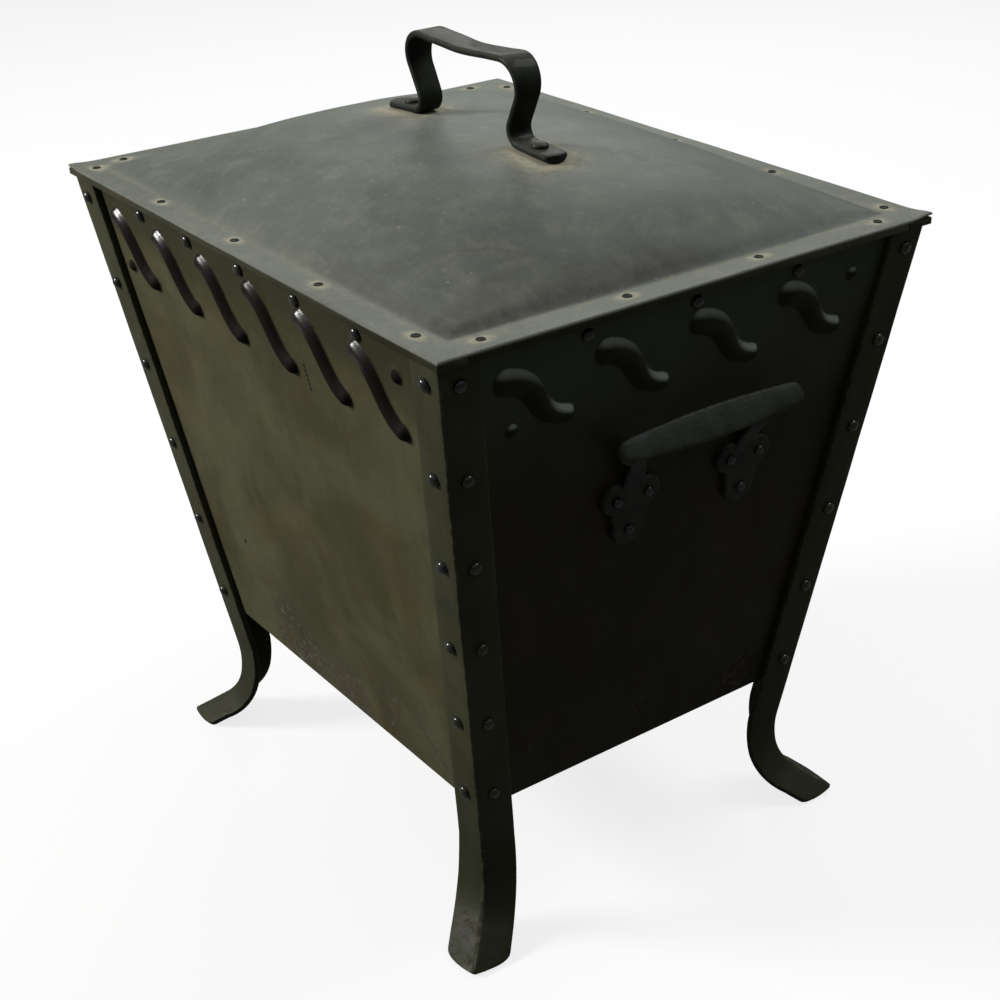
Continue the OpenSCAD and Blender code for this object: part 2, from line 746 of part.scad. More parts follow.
module border_rivet_holes() {
    for (spot = lid_rivet_spots)
        translate(spot)
            border_rivet(hole_gap);
}

module lid_sheet() {
    color(lid_paint)
        difference() {
            union() {
                translate([0, 0, lid_low])
                    linear_extrude(sheet_t)
                        difference() {
                            square([lid_w, lid_d], center = true);
                            square([2 * dome_x, 2 * dome_y], center = true);
                        }
                dome_shell();
            }
            border_rivet_holes();
            at_foot_rivets()
                rivet_hole(strap_t + sheet_t + 2, false);
        }
}

// Angle bar under the lid border: a flat flange and a lip that drops inside the box
module lid_bar(face) {
    long = is_side(face) ? lid_d - 2 * lid_bar_w - 2 * edge_gap : lid_w;
    lip_len = is_side(face) ? long : lid_w - 2 * lid_bar_w;
    edge = (is_side(face) ? lid_w : lid_d) / 2;
    color(post_paint)
        difference() {
            rotate([0, 0, 90 * face])
                translate([0, -edge, top_z]) {
                    translate([-long / 2, 0, 0])
                        cube([long, lid_bar_w, lid_bar_t]);
                    translate([-lip_len / 2, lid_bar_w - lid_lip_t, -lid_lip_h])
                        cube([lip_len, lid_lip_t, lid_lip_h + lid_bar_t / 2]);
                }
            border_rivet_holes();
        }
}

module lid_border_rivets() {
    color(rivet_paint)
        for (spot = lid_rivet_spots)
            translate(spot)
                border_rivet(0);
}

// Lid handle: one strap bent in its own plane, X across and Z up, from the middle outward
foot_under = dome_z(foot_rivet_x, 0) + seat_gap;
foot_mid = foot_under + strap_t / 2 / cos(foot_tilt);
shoulder_z = lid_top + grip_top - strap_t / 2 - shoulder_r;
shoulder_end = [shoulder_x + shoulder_r * cos(upright_lean), shoulder_z - shoulder_r * sin(upright_lean)];
neck_down = neck_r * (sin(upright_lean) + cos(foot_tilt));
neck_across = neck_r * (cos(upright_lean) - sin(foot_tilt));
upright_len = (shoulder_end.y - neck_down - foot_mid
    - (foot_rivet_x - shoulder_end.x - neck_across) * tan(foot_tilt))
    / (cos(upright_lean) + sin(upright_lean) * tan(foot_tilt));
grip_flat = (shoulder_x - shoulder_r * sin(grip_dip) - grip_dip_r * sin(grip_dip)) / cos(grip_dip);
grip_mid_z = shoulder_z + shoulder_r * cos(grip_dip) - grip_flat * sin(grip_dip)
    - grip_dip_r * (1 - cos(grip_dip));
bend_step = 6;
function left_of(heading) = [-sin(heading), cos(heading)];
function arc_stops(from, r, turn) =
    let (n = ceil(abs(turn) / bend_step))
    [for (i = [1:n]) let (heading = from[1] + turn * i / n)
        [from[0] + sign(turn) * r * (left_of(from[1]) - left_of(heading)), heading]];
function straight_stop(from, run) = [from[0] + run * [cos(from[1]), sin(from[1])], from[1]];
function last(list) = list[len(list) - 1];
strap_dip = arc_stops([[0, grip_mid_z], 0], grip_dip_r, grip_dip);
shoulder_from = straight_stop(last(strap_dip), grip_flat);
strap_shoulder = arc_stops(shoulder_from, shoulder_r, -grip_dip - 90 - upright_lean);
neck_from = straight_stop(last(strap_shoulder), upright_len);
strap_neck = arc_stops(neck_from, neck_r, 90 + upright_lean - foot_tilt);
strap_half = concat(
    strap_dip,
    [shoulder_from], strap_shoulder,
    [neck_from], strap_neck,
    [straight_stop(last(strap_neck), foot_tab)]);
strap_stops = concat(
    [for (i = [len(strap_half) - 1:-1:0]) let (stop = strap_half[i])
        [[-stop[0].x, stop[0].y], -stop[1]]],
    [[[0, grip_mid_z], 0]],
    strap_half);

module strap() {
    rotate([90, 0, 0])
        linear_extrude(strap_w + 2, center = true)
            polygon(concat(
                [for (stop = strap_stops) stop[0] + strap_t / 2 * left_of(stop[1])],
                [for (i = [len(strap_stops) - 1:-1:0]) let (stop = strap_stops[i])
                    stop[0] - strap_t / 2 * left_of(stop[1])]));
}

// Waste around the rounded end of a foot
module foot_corner() {
    tip = last(strap_half)[0];
    round_r = 0.56 * upright_w;
    translate([tip.x, 0, tip.y])
        rotate([0, foot_tilt, 0])
            translate([-round_r, 0, -strap_w])
                difference() {
                    translate([0, -strap_w, 0])
                        cube([2 * round_r, 2 * strap_w, 2 * strap_w]);
                    translate([0, 0, -1])
                        cylinder(r = round_r, h = 2 * strap_w + 2);
                }
}

module at_foot_rivets() {
    for (side = [0, 180])
        translate([lid_handle_shift, 0, foot_under + strap_t / cos(foot_tilt)])
            rotate([0, 0, side])
                translate([foot_rivet_x, 0, 0])
                    rotate([0, foot_tilt, 0])
                        children();
}

// Outline across the strap: wide over the grip, narrow at the uprights and feet
module strap_width() {
    low = lid_top;
    narrow_z = lid_top + grip_top - 1.6 * shoulder_r;
    wide_z = lid_top + grip_top - 1;
    high = lid_top + grip_top + 5;
    rotate([90, 0, 90])
        linear_extrude(4 * foot_rivet_x, center = true)
            polygon([
                [-upright_w / 2, low], [upright_w / 2, low], [upright_w / 2, narrow_z],
                [strap_w / 2, wide_z], [strap_w / 2, high], [-strap_w / 2, high],
                [-strap_w / 2, wide_z], [-upright_w / 2, narrow_z]]);
}

module lid_handle() {
    color(handle_paint)
        difference() {
            translate([lid_handle_shift, 0, 0])
                difference() {
                    intersection() {
                        strap();
                        strap_width();
                    }
                    foot_corner();
                    mirror([1, 0, 0])
                        foot_corner();
                }
            at_foot_rivets()
                rivet_hole(strap_t + sheet_t + 2, false);
        }
}

module lid_handle_rivets() {
    color(rivet_paint)
        at_foot_rivets()
            rivet(strap_t + sheet_t + 2 * seat_gap + tail_gap, foot_rivet_head_d, false);
}

module front_panel() { color(panel_paint) panel(0); }
module right_panel() { color(side_paint) panel(1); }
module back_panel() { color(panel_paint) panel(2); }
module left_panel() { color(side_paint) panel(3); }

// The four corners, by mirroring the front right one
module at_corner(left, back) {
    mirror([left, 0, 0])
        mirror([0, back, 0])
            children();
}

module post_front_right() { color(post_paint) at_corner(0, 0) post(); }
module post_front_left() { color(post_paint) at_corner(1, 0) post(); }
module post_back_right() { color(post_paint) at_corner(0, 1) post(); }
module post_back_left() { color(post_paint) at_corner(1, 1) post(); }

module post_rivets_front_right() { color(rivet_paint) at_corner(0, 0) post_rivets(); }
module post_rivets_front_left() { color(rivet_paint) at_corner(1, 0) post_rivets(); }
module post_rivets_back_right() { color(rivet_paint) at_corner(0, 1) post_rivets(); }
module post_rivets_back_left() { color(rivet_paint) at_corner(1, 1) post_rivets(); }

module rim_bar_front() { color(post_paint) rim_bar(0); }
module rim_bar_right() { color(post_paint) rim_bar(1); }
module rim_bar_back() { color(post_paint) rim_bar(2); }
module rim_bar_left() { color(post_paint) rim_bar(3); }

module rim_rivets_front() { color(rivet_paint) rim_rivets(0); }
module rim_rivets_right() { color(rivet_paint) rim_rivets(1); }
module rim_rivets_back() { color(rivet_paint) rim_rivets(2); }
module rim_rivets_left() { color(rivet_paint) rim_rivets(3); }

front_panel();
right_panel();
back_panel();
left_panel();
floor_plate();
post_front_right();
post_front_left();
post_back_right();
post_back_left();
rim_bar_front();
rim_bar_right();
rim_bar_back();
rim_bar_left();
post_rivets_front_right();
post_rivets_front_left();
post_rivets_back_right();
post_rivets_back_left();
rim_rivets_front();
rim_rivets_right();
rim_rivets_back();
rim_rivets_left();
side_handle(1);  // side_handle_right
side_handle(3);  // side_handle_left
side_handle_rivets(1);  // side_handle_rivets_right
side_handle_rivets(3);  // side_handle_rivets_left
lid_sheet();
lid_bar(0);  // lid_bar_front
lid_bar(2);  // lid_bar_back
lid_bar(1);  // lid_bar_right
lid_bar(3);  // lid_bar_left
lid_border_rivets();
lid_handle();
lid_handle_rivets();
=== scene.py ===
"""Looks of a riveted sheet-iron coal box: worn satin paint, glossy rivets and a dusty lid."""

import math
import random

import bpy
import numpy as np
from mathutils import Matrix, Vector, noise


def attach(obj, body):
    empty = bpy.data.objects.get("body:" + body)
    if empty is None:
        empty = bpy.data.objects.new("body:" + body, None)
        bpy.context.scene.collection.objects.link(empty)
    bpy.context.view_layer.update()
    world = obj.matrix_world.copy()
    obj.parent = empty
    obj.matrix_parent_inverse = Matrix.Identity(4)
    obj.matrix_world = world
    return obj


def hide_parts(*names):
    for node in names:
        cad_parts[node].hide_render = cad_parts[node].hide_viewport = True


bl_info = {
    "name": "Riveted coal box",
    "version": (1, 0, 0),
    "blender": (4, 5, 0),
    "location": "View3D > Sidebar > Coal Box",
    "description": "Builds the sheets, posts, rivets, handles and finishes of a lidded coal box",
    "category": "Add Mesh",
}

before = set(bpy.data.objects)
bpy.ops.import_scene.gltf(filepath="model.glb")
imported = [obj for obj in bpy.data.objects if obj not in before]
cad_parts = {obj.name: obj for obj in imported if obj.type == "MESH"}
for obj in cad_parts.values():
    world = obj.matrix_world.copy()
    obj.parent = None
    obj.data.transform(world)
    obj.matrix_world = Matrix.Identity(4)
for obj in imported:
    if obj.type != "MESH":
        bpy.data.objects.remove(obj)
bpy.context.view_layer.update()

# The walls, counter-clockwise from above
FRONT, RIGHT, BACK, LEFT = range(4)
FACE_NAMES = ("front", "right", "back", "left")
# Each post is the front right one, mirrored across or in depth where its sign is -1
CORNERS = (("front_right", 1, 1), ("front_left", -1, 1), ("back_right", 1, -1), ("back_left", -1, -1))


def length(name, text, default):
    """A size in metres."""
    return bpy.props.FloatProperty(name=name, description=text, default=default, unit="LENGTH")


def angle(name, text, degrees):
    """An angle, given in degrees."""
    return bpy.props.FloatProperty(
        name=name, description=text, default=math.radians(degrees), subtype="ANGLE")


def share(name, text, default):
    """A plain number from 0 to 1."""
    return bpy.props.FloatProperty(
        name=name, description=text, default=default, min=0, max=1, subtype="FACTOR")


def count(name, text, default):
    """A whole number of pieces."""
    return bpy.props.IntProperty(name=name, description=text, default=default, min=1)


def colour(name, text, default):
    """A colour in linear values."""
    return bpy.props.FloatVectorProperty(
        name=name, description=text, default=default, size=3, min=0, max=1, subtype="COLOR")


class BoxSizes(bpy.types.PropertyGroup):
    """Sizes of the panels and posts."""
    top_w: length("Top width", "Width over the posts at the top", 0.429)
    top_d: length("Top depth", "Depth over the posts at the top", 0.340)
    bottom_w: length("Bottom width", "Width over the posts at the panels' bottom edge", 0.328)
    bottom_d: length("Bottom depth", "Depth over the posts at the panels' bottom edge", 0.256)
    box_h: length("Panel height", "Height of the panels", 0.316)
    leg_h: length("Leg height", "Height of the panels' bottom edge above the ground", 0.0983)
    sheet_t: length("Sheet thickness", "Thickness of the panel and lid sheets", 0.0015)
    ledge_w: length("Ledge width", "Width of the ledge turned in at the foot of a panel", 0.014)
    rim_bar_t: length("Rim bar thickness", "Thickness of the flat bars inside the rim", 0.0025)
    edge_gap: length("Edge gap", "Gap between the edges of neighbouring sheets", 0.0004)
    wave: length("Panel unevenness", "How far the thin sheet wanders off flat", 0.0007)


class PostSizes(bpy.types.PropertyGroup):
    """Sizes of the corner posts, their legs and feet."""
    angle_w: length("Flange width", "Flange width of the angle iron", 0.025)
    angle_t: length("Iron thickness", "Thickness of the angle iron", 0.0045)
    knee_r: length("Knee radius", "Radius of the slow outward bend", 0.062)
    ankle_r: length("Ankle radius", "Radius of the tight bend above the foot", 0.030)
    knee_turn: angle("Knee turn", "Outward angle at the end of the slow bend", 10)
    foot_turn: angle("Foot turn", "Outward angle of the foot, from straight down", 58)
    foot_len: length("Foot length", "Length of the foot beyond the ankle", 0.029)
    foot_round: length("Foot point", "Length of the pointed end of the foot", 0.016)
    foot_flange: length("Foot flange", "Flange width at the foot", 0.022)
    foot_splay: angle("Foot splay", "Half of the angle between the flanges at the foot", 64)
    sole_cut: length("Sole cut", "Depth to which the edges of the feet are ground flat", 0.001)
    edge_r: length("Edge radius", "Rounding of the rolled iron's edges", 0.0011)
    heel_r: length("Corner radius", "Rounding of the angle iron's outer corner", 0.0021)


class RibSizes(bpy.types.PropertyGroup):
    """Sizes of the embossed ribs and bosses."""
    front_count: count("Front ribs", "Ribs on the front and back panels", 6)
    side_count: count("Side ribs", "Ribs on the side panels", 4)
    front_pitch: length("Front rib spacing", "Spacing of the ribs on the front and back", 0.0588)
    side_pitch: length("Side rib spacing", "Spacing of the ribs on the sides", 0.0648)
    front_w: length("Front rib length", "Length across of a front or back rib", 0.041)
    side_w: length("Side rib length", "Length across of a side rib", 0.050)
    front_shift: length("Front rib shift", "Shift of the front ribs to the viewer's left", 0.003)
    side_shift: length("Side rib shift", "Shift of the side ribs to the viewer's left", 0.0075)
    front_h: length("Front rib height", "Height of a front or back rib from end to end", 0.039)
    side_h: length("Side rib height", "Height of a side rib from end to end", 0.032)
    front_bow: share("Front rib bow", "How strongly a front or back rib is bent into an S", 0.3)
    side_bow: share("Side rib bow", "How strongly a side rib is bent into an S", 0.5)
    half_w: length("Rib half width", "Half width of the steep crest of a rib", 0.0056)
    foot_w: length("Rib foot", "Half width over the soft foot of a rib", 0.0092)
    reach: share("Rib reach", "Share of the rib's length that its middle line runs", 0.9)
    rise: length("Rib rise", "How far a rib stands out of the sheet", 0.005)
    drop: length("Rib drop", "Drop of the middle of the ribs below the top edge", 0.037)
    boss_r: length("Boss radius", "Base radius of the round bosses", 0.0045)
    boss_rise: length("Boss rise", "How far a boss stands out", 0.003)
    boss_step: length("Boss step", "Distance of the bosses above and below the ribs' middle", 0.0155)
    front_boss_x: length("Front boss distance", "Distance of the front bosses from the middle", 0.165)
    side_boss_x: length("Side boss distance", "Distance of the side bosses from the middle", 0.119)


class RivetSizes(bpy.types.PropertyGroup):
    """Sizes and places of the dome rivets."""
    head_d: length("Head diameter", "Head diameter of the dome rivets", 0.008)
    head_h: length("Head height", "Head height of the dome rivets", 0.0033)
    shank_d: length("Shank diameter", "Shank diameter of the rivets", 0.004)
    post_count: count("Post rivets", "Rivets in each post flange", 6)
    post_inset: length("Post rivet inset", "Distance of the post rivets from the corner edge", 0.012)
    post_drop: length("Highest post rivet", "Drop of the highest post rivet below the top edge", 0.0124)
    post_rise: length("Lowest post rivet", "Height of the lowest post rivet above the bottom edge", 0.014)
    front_count: count("Front rim rivets", "Rivets under the front and back rim", 5)
    side_count: count("Side rim rivets", "Rivets under the side rims", 3)
    front_pitch: length("Front rim spacing", "Spacing of the front and back rim rivets", 0.0647)
    side_pitch: length("Side rim spacing", "Spacing of the side rim rivets", 0.074)
    rim_drop: length("Rim rivet drop", "Drop of the rim rivets below the top edge", 0.009)
    unevenness: share("Unevenness", "How much the hand-set heads differ from each other", 0.07)


class LidSizes(bpy.types.PropertyGroup):
    """Sizes of the lid sheet, its bars and border rivets."""
    lid_w: length("Lid width", "Width of the lid", 0.436)
    lid_d: length("Lid depth", "Depth of the lid", 0.344)
    border: length("Border", "Width of the flat border", 0.019)
    step: length("Step", "Small step where the raised middle leaves the border", 0.002)
    step_w: length("Step width", "Width over which the sheet rises by the step", 0.010)
    dome_h: length("Dome height", "Height of the domed middle above the border", 0.038)
    bar_t: length("Bar thickness", "Thickness of the bars under the border", 0.004)
    bar_w: length("Bar width", "Width of the bars under the border", 0.0185)
    lip_t: length("Lip thickness", "Thickness of the lip that drops inside the box", 0.003)
    lip_h: length("Lip depth", "Depth of the lip inside the box", 0.010)
    rivet_inset: length("Border rivet inset", "Distance of the border rivets from the edge", 0.0115)
    rivet_r: length("Border rivet radius", "Radius of a flush border rivet's head", 0.003)
    long_count: count("Long row", "Border rivets along the front and the back", 5)
    long_pitch: length("Long row spacing", "Spacing of the border rivets along front and back", 0.0953)
    long_shift: length("Front row shift", "Shift of the front row to the viewer's left", 0.009)
    short_count: count("Short row", "Border rivets along each side", 4)
    short_pitch: length("Short row spacing", "Spacing of the border rivets along each side", 0.0924)
    dent: length("Lid unevenness", "How far the lid sheet wanders off its smooth dome", 0.0012)


class LidHandleSizes(bpy.types.PropertyGroup):
    """Sizes of the strap handle on the lid."""
    grip_w: length("Grip width", "Width of the strap over the grip", 0.021)
    upright_w: length("Upright width", "Width of the uprights and feet", 0.017)
    strap_t: length("Strap thickness", "Thickness of the strap", 0.0045)
    grip_top: length("Grip height", "Height of the grip above the lid's border", 0.091)
    shoulder_x: length("Shoulder distance", "Distance of the shoulder bends from the middle", 0.0425)
    shoulder_r: length("Shoulder radius", "Middle radius of the shoulder bends", 0.015)
    lean: angle("Upright lean", "Inward lean of the uprights", 28)
    neck_r: length("Neck radius", "Middle radius of the bend above each foot", 0.008)
    dip: angle("Grip dip", "Rise of the grip from its middle towards the shoulders", 4)
    dip_r: length("Dip radius", "Radius of the dip along the grip", 0.2)
    foot_tab: length("Foot length", "Length of each foot beyond the neck bend", 0.032)
    rivet_x: length("Foot rivet distance", "Distance of the foot rivets from the middle", 0.0675)
    shift: length("Shift", "Shift of the handle to the viewer's right", 0.0025)
    seat_gap: length("Seat gap", "Gap between the feet and the curved sheet", 0.0002)
    tail_gap: length("Tail gap", "Gap between the sheet and a foot rivet's tail", 0.0003)
    rivet_d: length("Foot rivet head", "Head diameter of the foot rivets", 0.011)


class SideHandleSizes(bpy.types.PropertyGroup):
    """Sizes of the forged side handles."""
    plate_pitch: length("Plate distance", "Distance between the two rivet plates", 0.0844)
    shift: length("Shift", "Shift of the side handles to the viewer's right", 0.0085)
    plate_drop: length("Plate drop", "Drop of the plates' middle below the top edge", 0.131)
    rivet_pitch: length("Plate rivet spacing", "Spacing of the three rivets in a plate", 0.0222)
    lobe_r: length("Lobe radius", "Radius of a plate's upper lobes", 0.0095)
    tail_r: length("Lower lobe radius", "Radius of a plate's lower lobe", 0.011)
    middle_r: length("Plate middle radius", "Radius of the full middle of a plate", 0.013)
    plate_t: length("Plate thickness", "Thickness of a plate", 0.004)
    grip_out: length("Grip reach", "How far the grip stands out of the panel", 0.018)
    grip_up: length("Grip rise", "How far the grip lies above the plates' middle", 0.055)
    grip_half: length("Grip half length", "Half of the grip's length over its shoulders", 0.066)
    grip_w: length("Grip width", "Width of the grip in the middle", 0.019)
    grip_t: length("Grip thickness", "Thickness of the grip", 0.003)
    leg_w: length("Strap width", "Width of the strap at the plates", 0.015)
    tip_w: length("Shoulder width", "Width of the strap at the shoulders", 0.012)
    head_d: length("Rivet head", "Head diameter of the plates' rivets", 0.0065)


class FinishColours(bpy.types.PropertyGroup):
    """Colours of the paints and of what lies on them."""
    panel: colour("Panel paint", "Dark olive paint of the front and back panels", (0.0640, 0.0615, 0.0345))
    # Painted shade: far darker than the panel paint, as the sides stand in shade.
    side: colour("Side paint", "Nearly black paint of the side panels", (0.018, 0.0145, 0.0065))
    # Painted reflection: lighter and greener paint under the rim of the sides.
    side_high: colour("High side paint", "Greener paint of the sides under the rim", (0.060, 0.073, 0.052))
    # Painted shade: darkens the rib crests, which show dark from shaded flanks and dark reflections.
    crest: colour("Crest", "Blackened crests of the pressed ribs", (0.0075, 0.0062, 0.0055))
    # Painted light with a film of dust: lightens the upper faces of the side ribs.
    film: colour("Rib film", "Thin dust on the upper faces of the side ribs", (0.36, 0.40, 0.34))
    post: colour("Post paint", "Paint of the corner posts", (0.037, 0.038, 0.020))
    lid: colour("Lid paint", "Dull grey-green paint of the lid", (0.104, 0.115, 0.102))
    rivet: colour("Rivet paint", "Blackened rivet heads", (0.012, 0.014, 0.010))
    handle: colour("Handle paint", "Black of the forged handles", (0.021, 0.025, 0.019))
    inside: colour("Inside", "Sooty inside of the box", (0.022, 0.020, 0.017))
    dust: colour("Dust", "Pale brown dust", (0.230, 0.215, 0.165))
    rust: colour("Rust", "Thin rust that shows through the paint", (0.046, 0.036, 0.031))
    # Real water marks and grime on the lid; the same colour also paints shade on the dome's near corner.
    stain: colour("Stain", "Brown grime and water marks on the lid", (0.046, 0.041, 0.032))
    worn: colour("Worn edge", "Bare, rubbed edges", (0.135, 0.130, 0.110))


class StageSettings(bpy.types.PropertyGroup):
    """The photograph's camera and the studio."""
    azimuth: angle("Azimuth", "Direction of the camera round the box", 53.63747)
    elevation: angle("Elevation", "Height of the camera above the horizon", 27.71111)
    roll: angle("Roll", "Roll of the camera", -1.48788)
    lens: bpy.props.FloatProperty(
        name="Lens", description="Focal length on a 36 mm sensor", default=63.056, unit="CAMERA")
    position: bpy.props.FloatVectorProperty(
        name="Position", description="Place of the camera", default=(0.8739, -0.58438, 0.74243),
        subtype="TRANSLATION", unit="LENGTH")
    shift_x: bpy.props.FloatProperty(
        name="Shift across", description="Sideways shift of the frame", default=-0.060014)
    shift_y: bpy.props.FloatProperty(
        name="Shift up", description="Upward shift of the frame", default=0.015003)
    floor: colour("Floor", "Colour of the floor as it lights the box", (0.08, 0.08, 0.075))
    backdrop: colour("Backdrop", "Colour of the floor as it is seen", (0.85, 0.85, 0.85))
    whiteness: share("Whiteness", "How much of the seen floor is plain white", 0.80)
    ambient: colour("Ambient light", "Light from the horizon", (0.040, 0.040, 0.036))
    zenith: colour("Light from above", "Light from straight above", (0.36, 0.38, 0.37))
    mirrored: share("Mirrored", "How bright the white surroundings are in reflections", 0.07)
    floor_size: length("Floor size", "Width of the floor", 6.0)


# Mesh helpers

def grid_faces(rows, columns, start=0, flip=False, closed=False):
    """Quads over a grid of points that are numbered row by row."""
    faces = []
    across = columns if closed else columns - 1
    for i in range(rows - 1):
        for j in range(across):
            a = start + i * columns + j
            b = start + i * columns + (j + 1) % columns
            quad = (a, b, b + columns, a + columns)
            faces.append(quad[::-1] if flip else quad)
    return faces


def loft(rings):
    """Closed skin over rings of equally many points, counter-clockwise seen from the last ring."""
    n = len(rings[0])
    points = [p for ring in rings for p in ring]
    faces = grid_faces(len(rings), n, closed=True)
    faces.append(tuple(range(n - 1, -1, -1)))
    faces.append(tuple(range(len(points) - n, len(points))))
    return points, faces


def thin_sheet(outer, inner, rows, columns):
    """Closed skin over the outer and the inner grid of a sheet, with its four narrow edges."""
    behind = len(outer)
    faces = grid_faces(rows, columns) + grid_faces(rows, columns, start=behind, flip=True)
    edge = list(range(columns))
    edge += [i * columns + columns - 1 for i in range(1, rows)]
    edge += [(rows - 1) * columns + j for j in range(columns - 2, -1, -1)]
    edge += [i * columns for i in range(rows - 2, 0, -1)]
    for a, b in zip(edge, edge[1:] + edge[:1]):
        faces.append((b, a, a + behind, b + behind))
    return outer + inner, faces


def joined(parts):
    """Several (points, faces) pairs as one."""
    points, faces = [], []
    for more_points, more_faces in parts:
        faces += [tuple(i + len(points) for i in face) for face in more_faces]
        points += list(more_points)
    return points, faces


def rounded(outline, radii, steps=3):
    """A closed outline with each corner eased by a short curve of steps + 1 points."""
    points = []
    for i, radius in enumerate(radii):
        here = np.array(outline[i], float)
        before = np.array(outline[i - 1], float) - here
        after = np.array(outline[(i + 1) % len(outline)], float) - here
        before /= np.linalg.norm(before)
        after /= np.linalg.norm(after)
        open_angle = math.acos(max(-1, min(1, float(before @ after))))
        reach = radius / math.tan(open_angle / 2)
        start, end = here + before * reach, here + after * reach
        for k in range(steps + 1):
            t = k / steps
            points.append((1 - t) ** 2 * start + 2 * t * (1 - t) * here + t * t * end)
    return points


# Noise vectors start from the clock unless they have a seed, and the iron has to be the same in each run
NOISE_SEED = 7


def wobble(points, size, amount, seed=0.0):
    """The points moved a little by smooth noise, as hand-forged iron is."""
    noise.seed_set(NOISE_SEED)
    offset = Vector((seed, seed * 1.7, seed * 0.3))
    return [Vector(p) + amount * noise.noise_vector(Vector(p) / size + offset) for p in points]


def swings(x, y, across, up, level):
    """Smooth noise at places, with so many swings in a metre across and up."""
    return np.array([noise.noise(Vector((a * across, b * up, level))) for a, b in zip(x, y)])


def piece(name, skin, finish, body, node, values=None, sharp=40):
    """A mesh object that rides on a body, stands for a CAD node and carries values on its points."""
    points, faces = skin
    mesh = bpy.data.meshes.new(name)
    mesh.from_pydata([tuple(p) for p in points], [], faces)
    mesh.polygons.foreach_set("use_smooth", [True] * len(mesh.polygons))
    mesh.set_sharp_from_angle(angle=math.radians(sharp))
    for key, numbers in (values or {}).items():
        layer = mesh.attributes.new(key, "FLOAT", "POINT")
        layer.data.foreach_set("value", np.array(numbers, np.float32))
    mesh.update()
    obj = bpy.data.objects.new(name, mesh)
    bpy.context.scene.collection.objects.link(obj)
    obj.data.materials.append(finish)
    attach(obj, body)
    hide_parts(node)
    return obj


def repaint(node, finish):
    """A CAD node that stays in sight gets a finish."""
    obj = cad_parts[node]
    obj.data.materials.clear()
    obj.data.materials.append(finish)


# Shader nodes

class Nodes:
    """Adds and links the shader nodes of a material or a world."""

    def __init__(self, owner):
        owner.use_nodes = True
        self.tree = owner.node_tree
        self.tree.nodes.clear()

    def add(self, kind, **settings):
        """A new node with its settings."""
        node = self.tree.nodes.new(kind)
        for key, value in settings.items():
            setattr(node, key, value)
        return node

    def link(self, source, target):
        """A link from an output to an input."""
        self.tree.links.new(source, target)

    def feed(self, target, value):
        """A socket takes a number, a colour or another socket."""
        if isinstance(value, bpy.types.NodeSocket):
            self.link(value, target)
        elif isinstance(value, (int, float)):
            target.default_value = value
        else:
            target.default_value = (*value, 1)

    def part(self, vector, axis):
        """One part of a vector: X, Y or Z."""
        split = self.add("ShaderNodeSeparateXYZ")
        self.link(vector, split.inputs["Vector"])
        return split.outputs[axis]

    def between(self, value, low, high, to_low=0.0, to_high=1.0):
        """A value spread smoothly from one range over another."""
        node = self.add("ShaderNodeMapRange", interpolation_type="SMOOTHSTEP")
        self.feed(node.inputs["Value"], value)
        ends = {"From Min": low, "From Max": high, "To Min": to_low, "To Max": to_high}
        for key, number in ends.items():
            node.inputs[key].default_value = number
        return node.outputs["Result"]

    def maths(self, operation, a, b):
        """A sum, a product or the larger of two values, kept between 0 and 1."""
        node = self.add("ShaderNodeMath", operation=operation, use_clamp=True)
        self.feed(node.inputs[0], a)
        self.feed(node.inputs[1], b)
        return node.outputs[0]

    def product(self, first, *others):
        """Values multiplied together."""
        for value in others:
            first = self.maths("MULTIPLY", first, value)
        return first

    def largest(self, first, *others):
        """The largest of some values."""
        for value in others:
            first = self.maths("MAXIMUM", first, value)
        return first

    def blend(self, share, under, over):
        """One colour laid over another."""
        node = self.add("ShaderNodeMix", data_type="RGBA")
        self.feed(node.inputs["Factor"], share)
        self.feed(node.inputs["A"], under)
        self.feed(node.inputs["B"], over)
        return node.outputs["Result"]


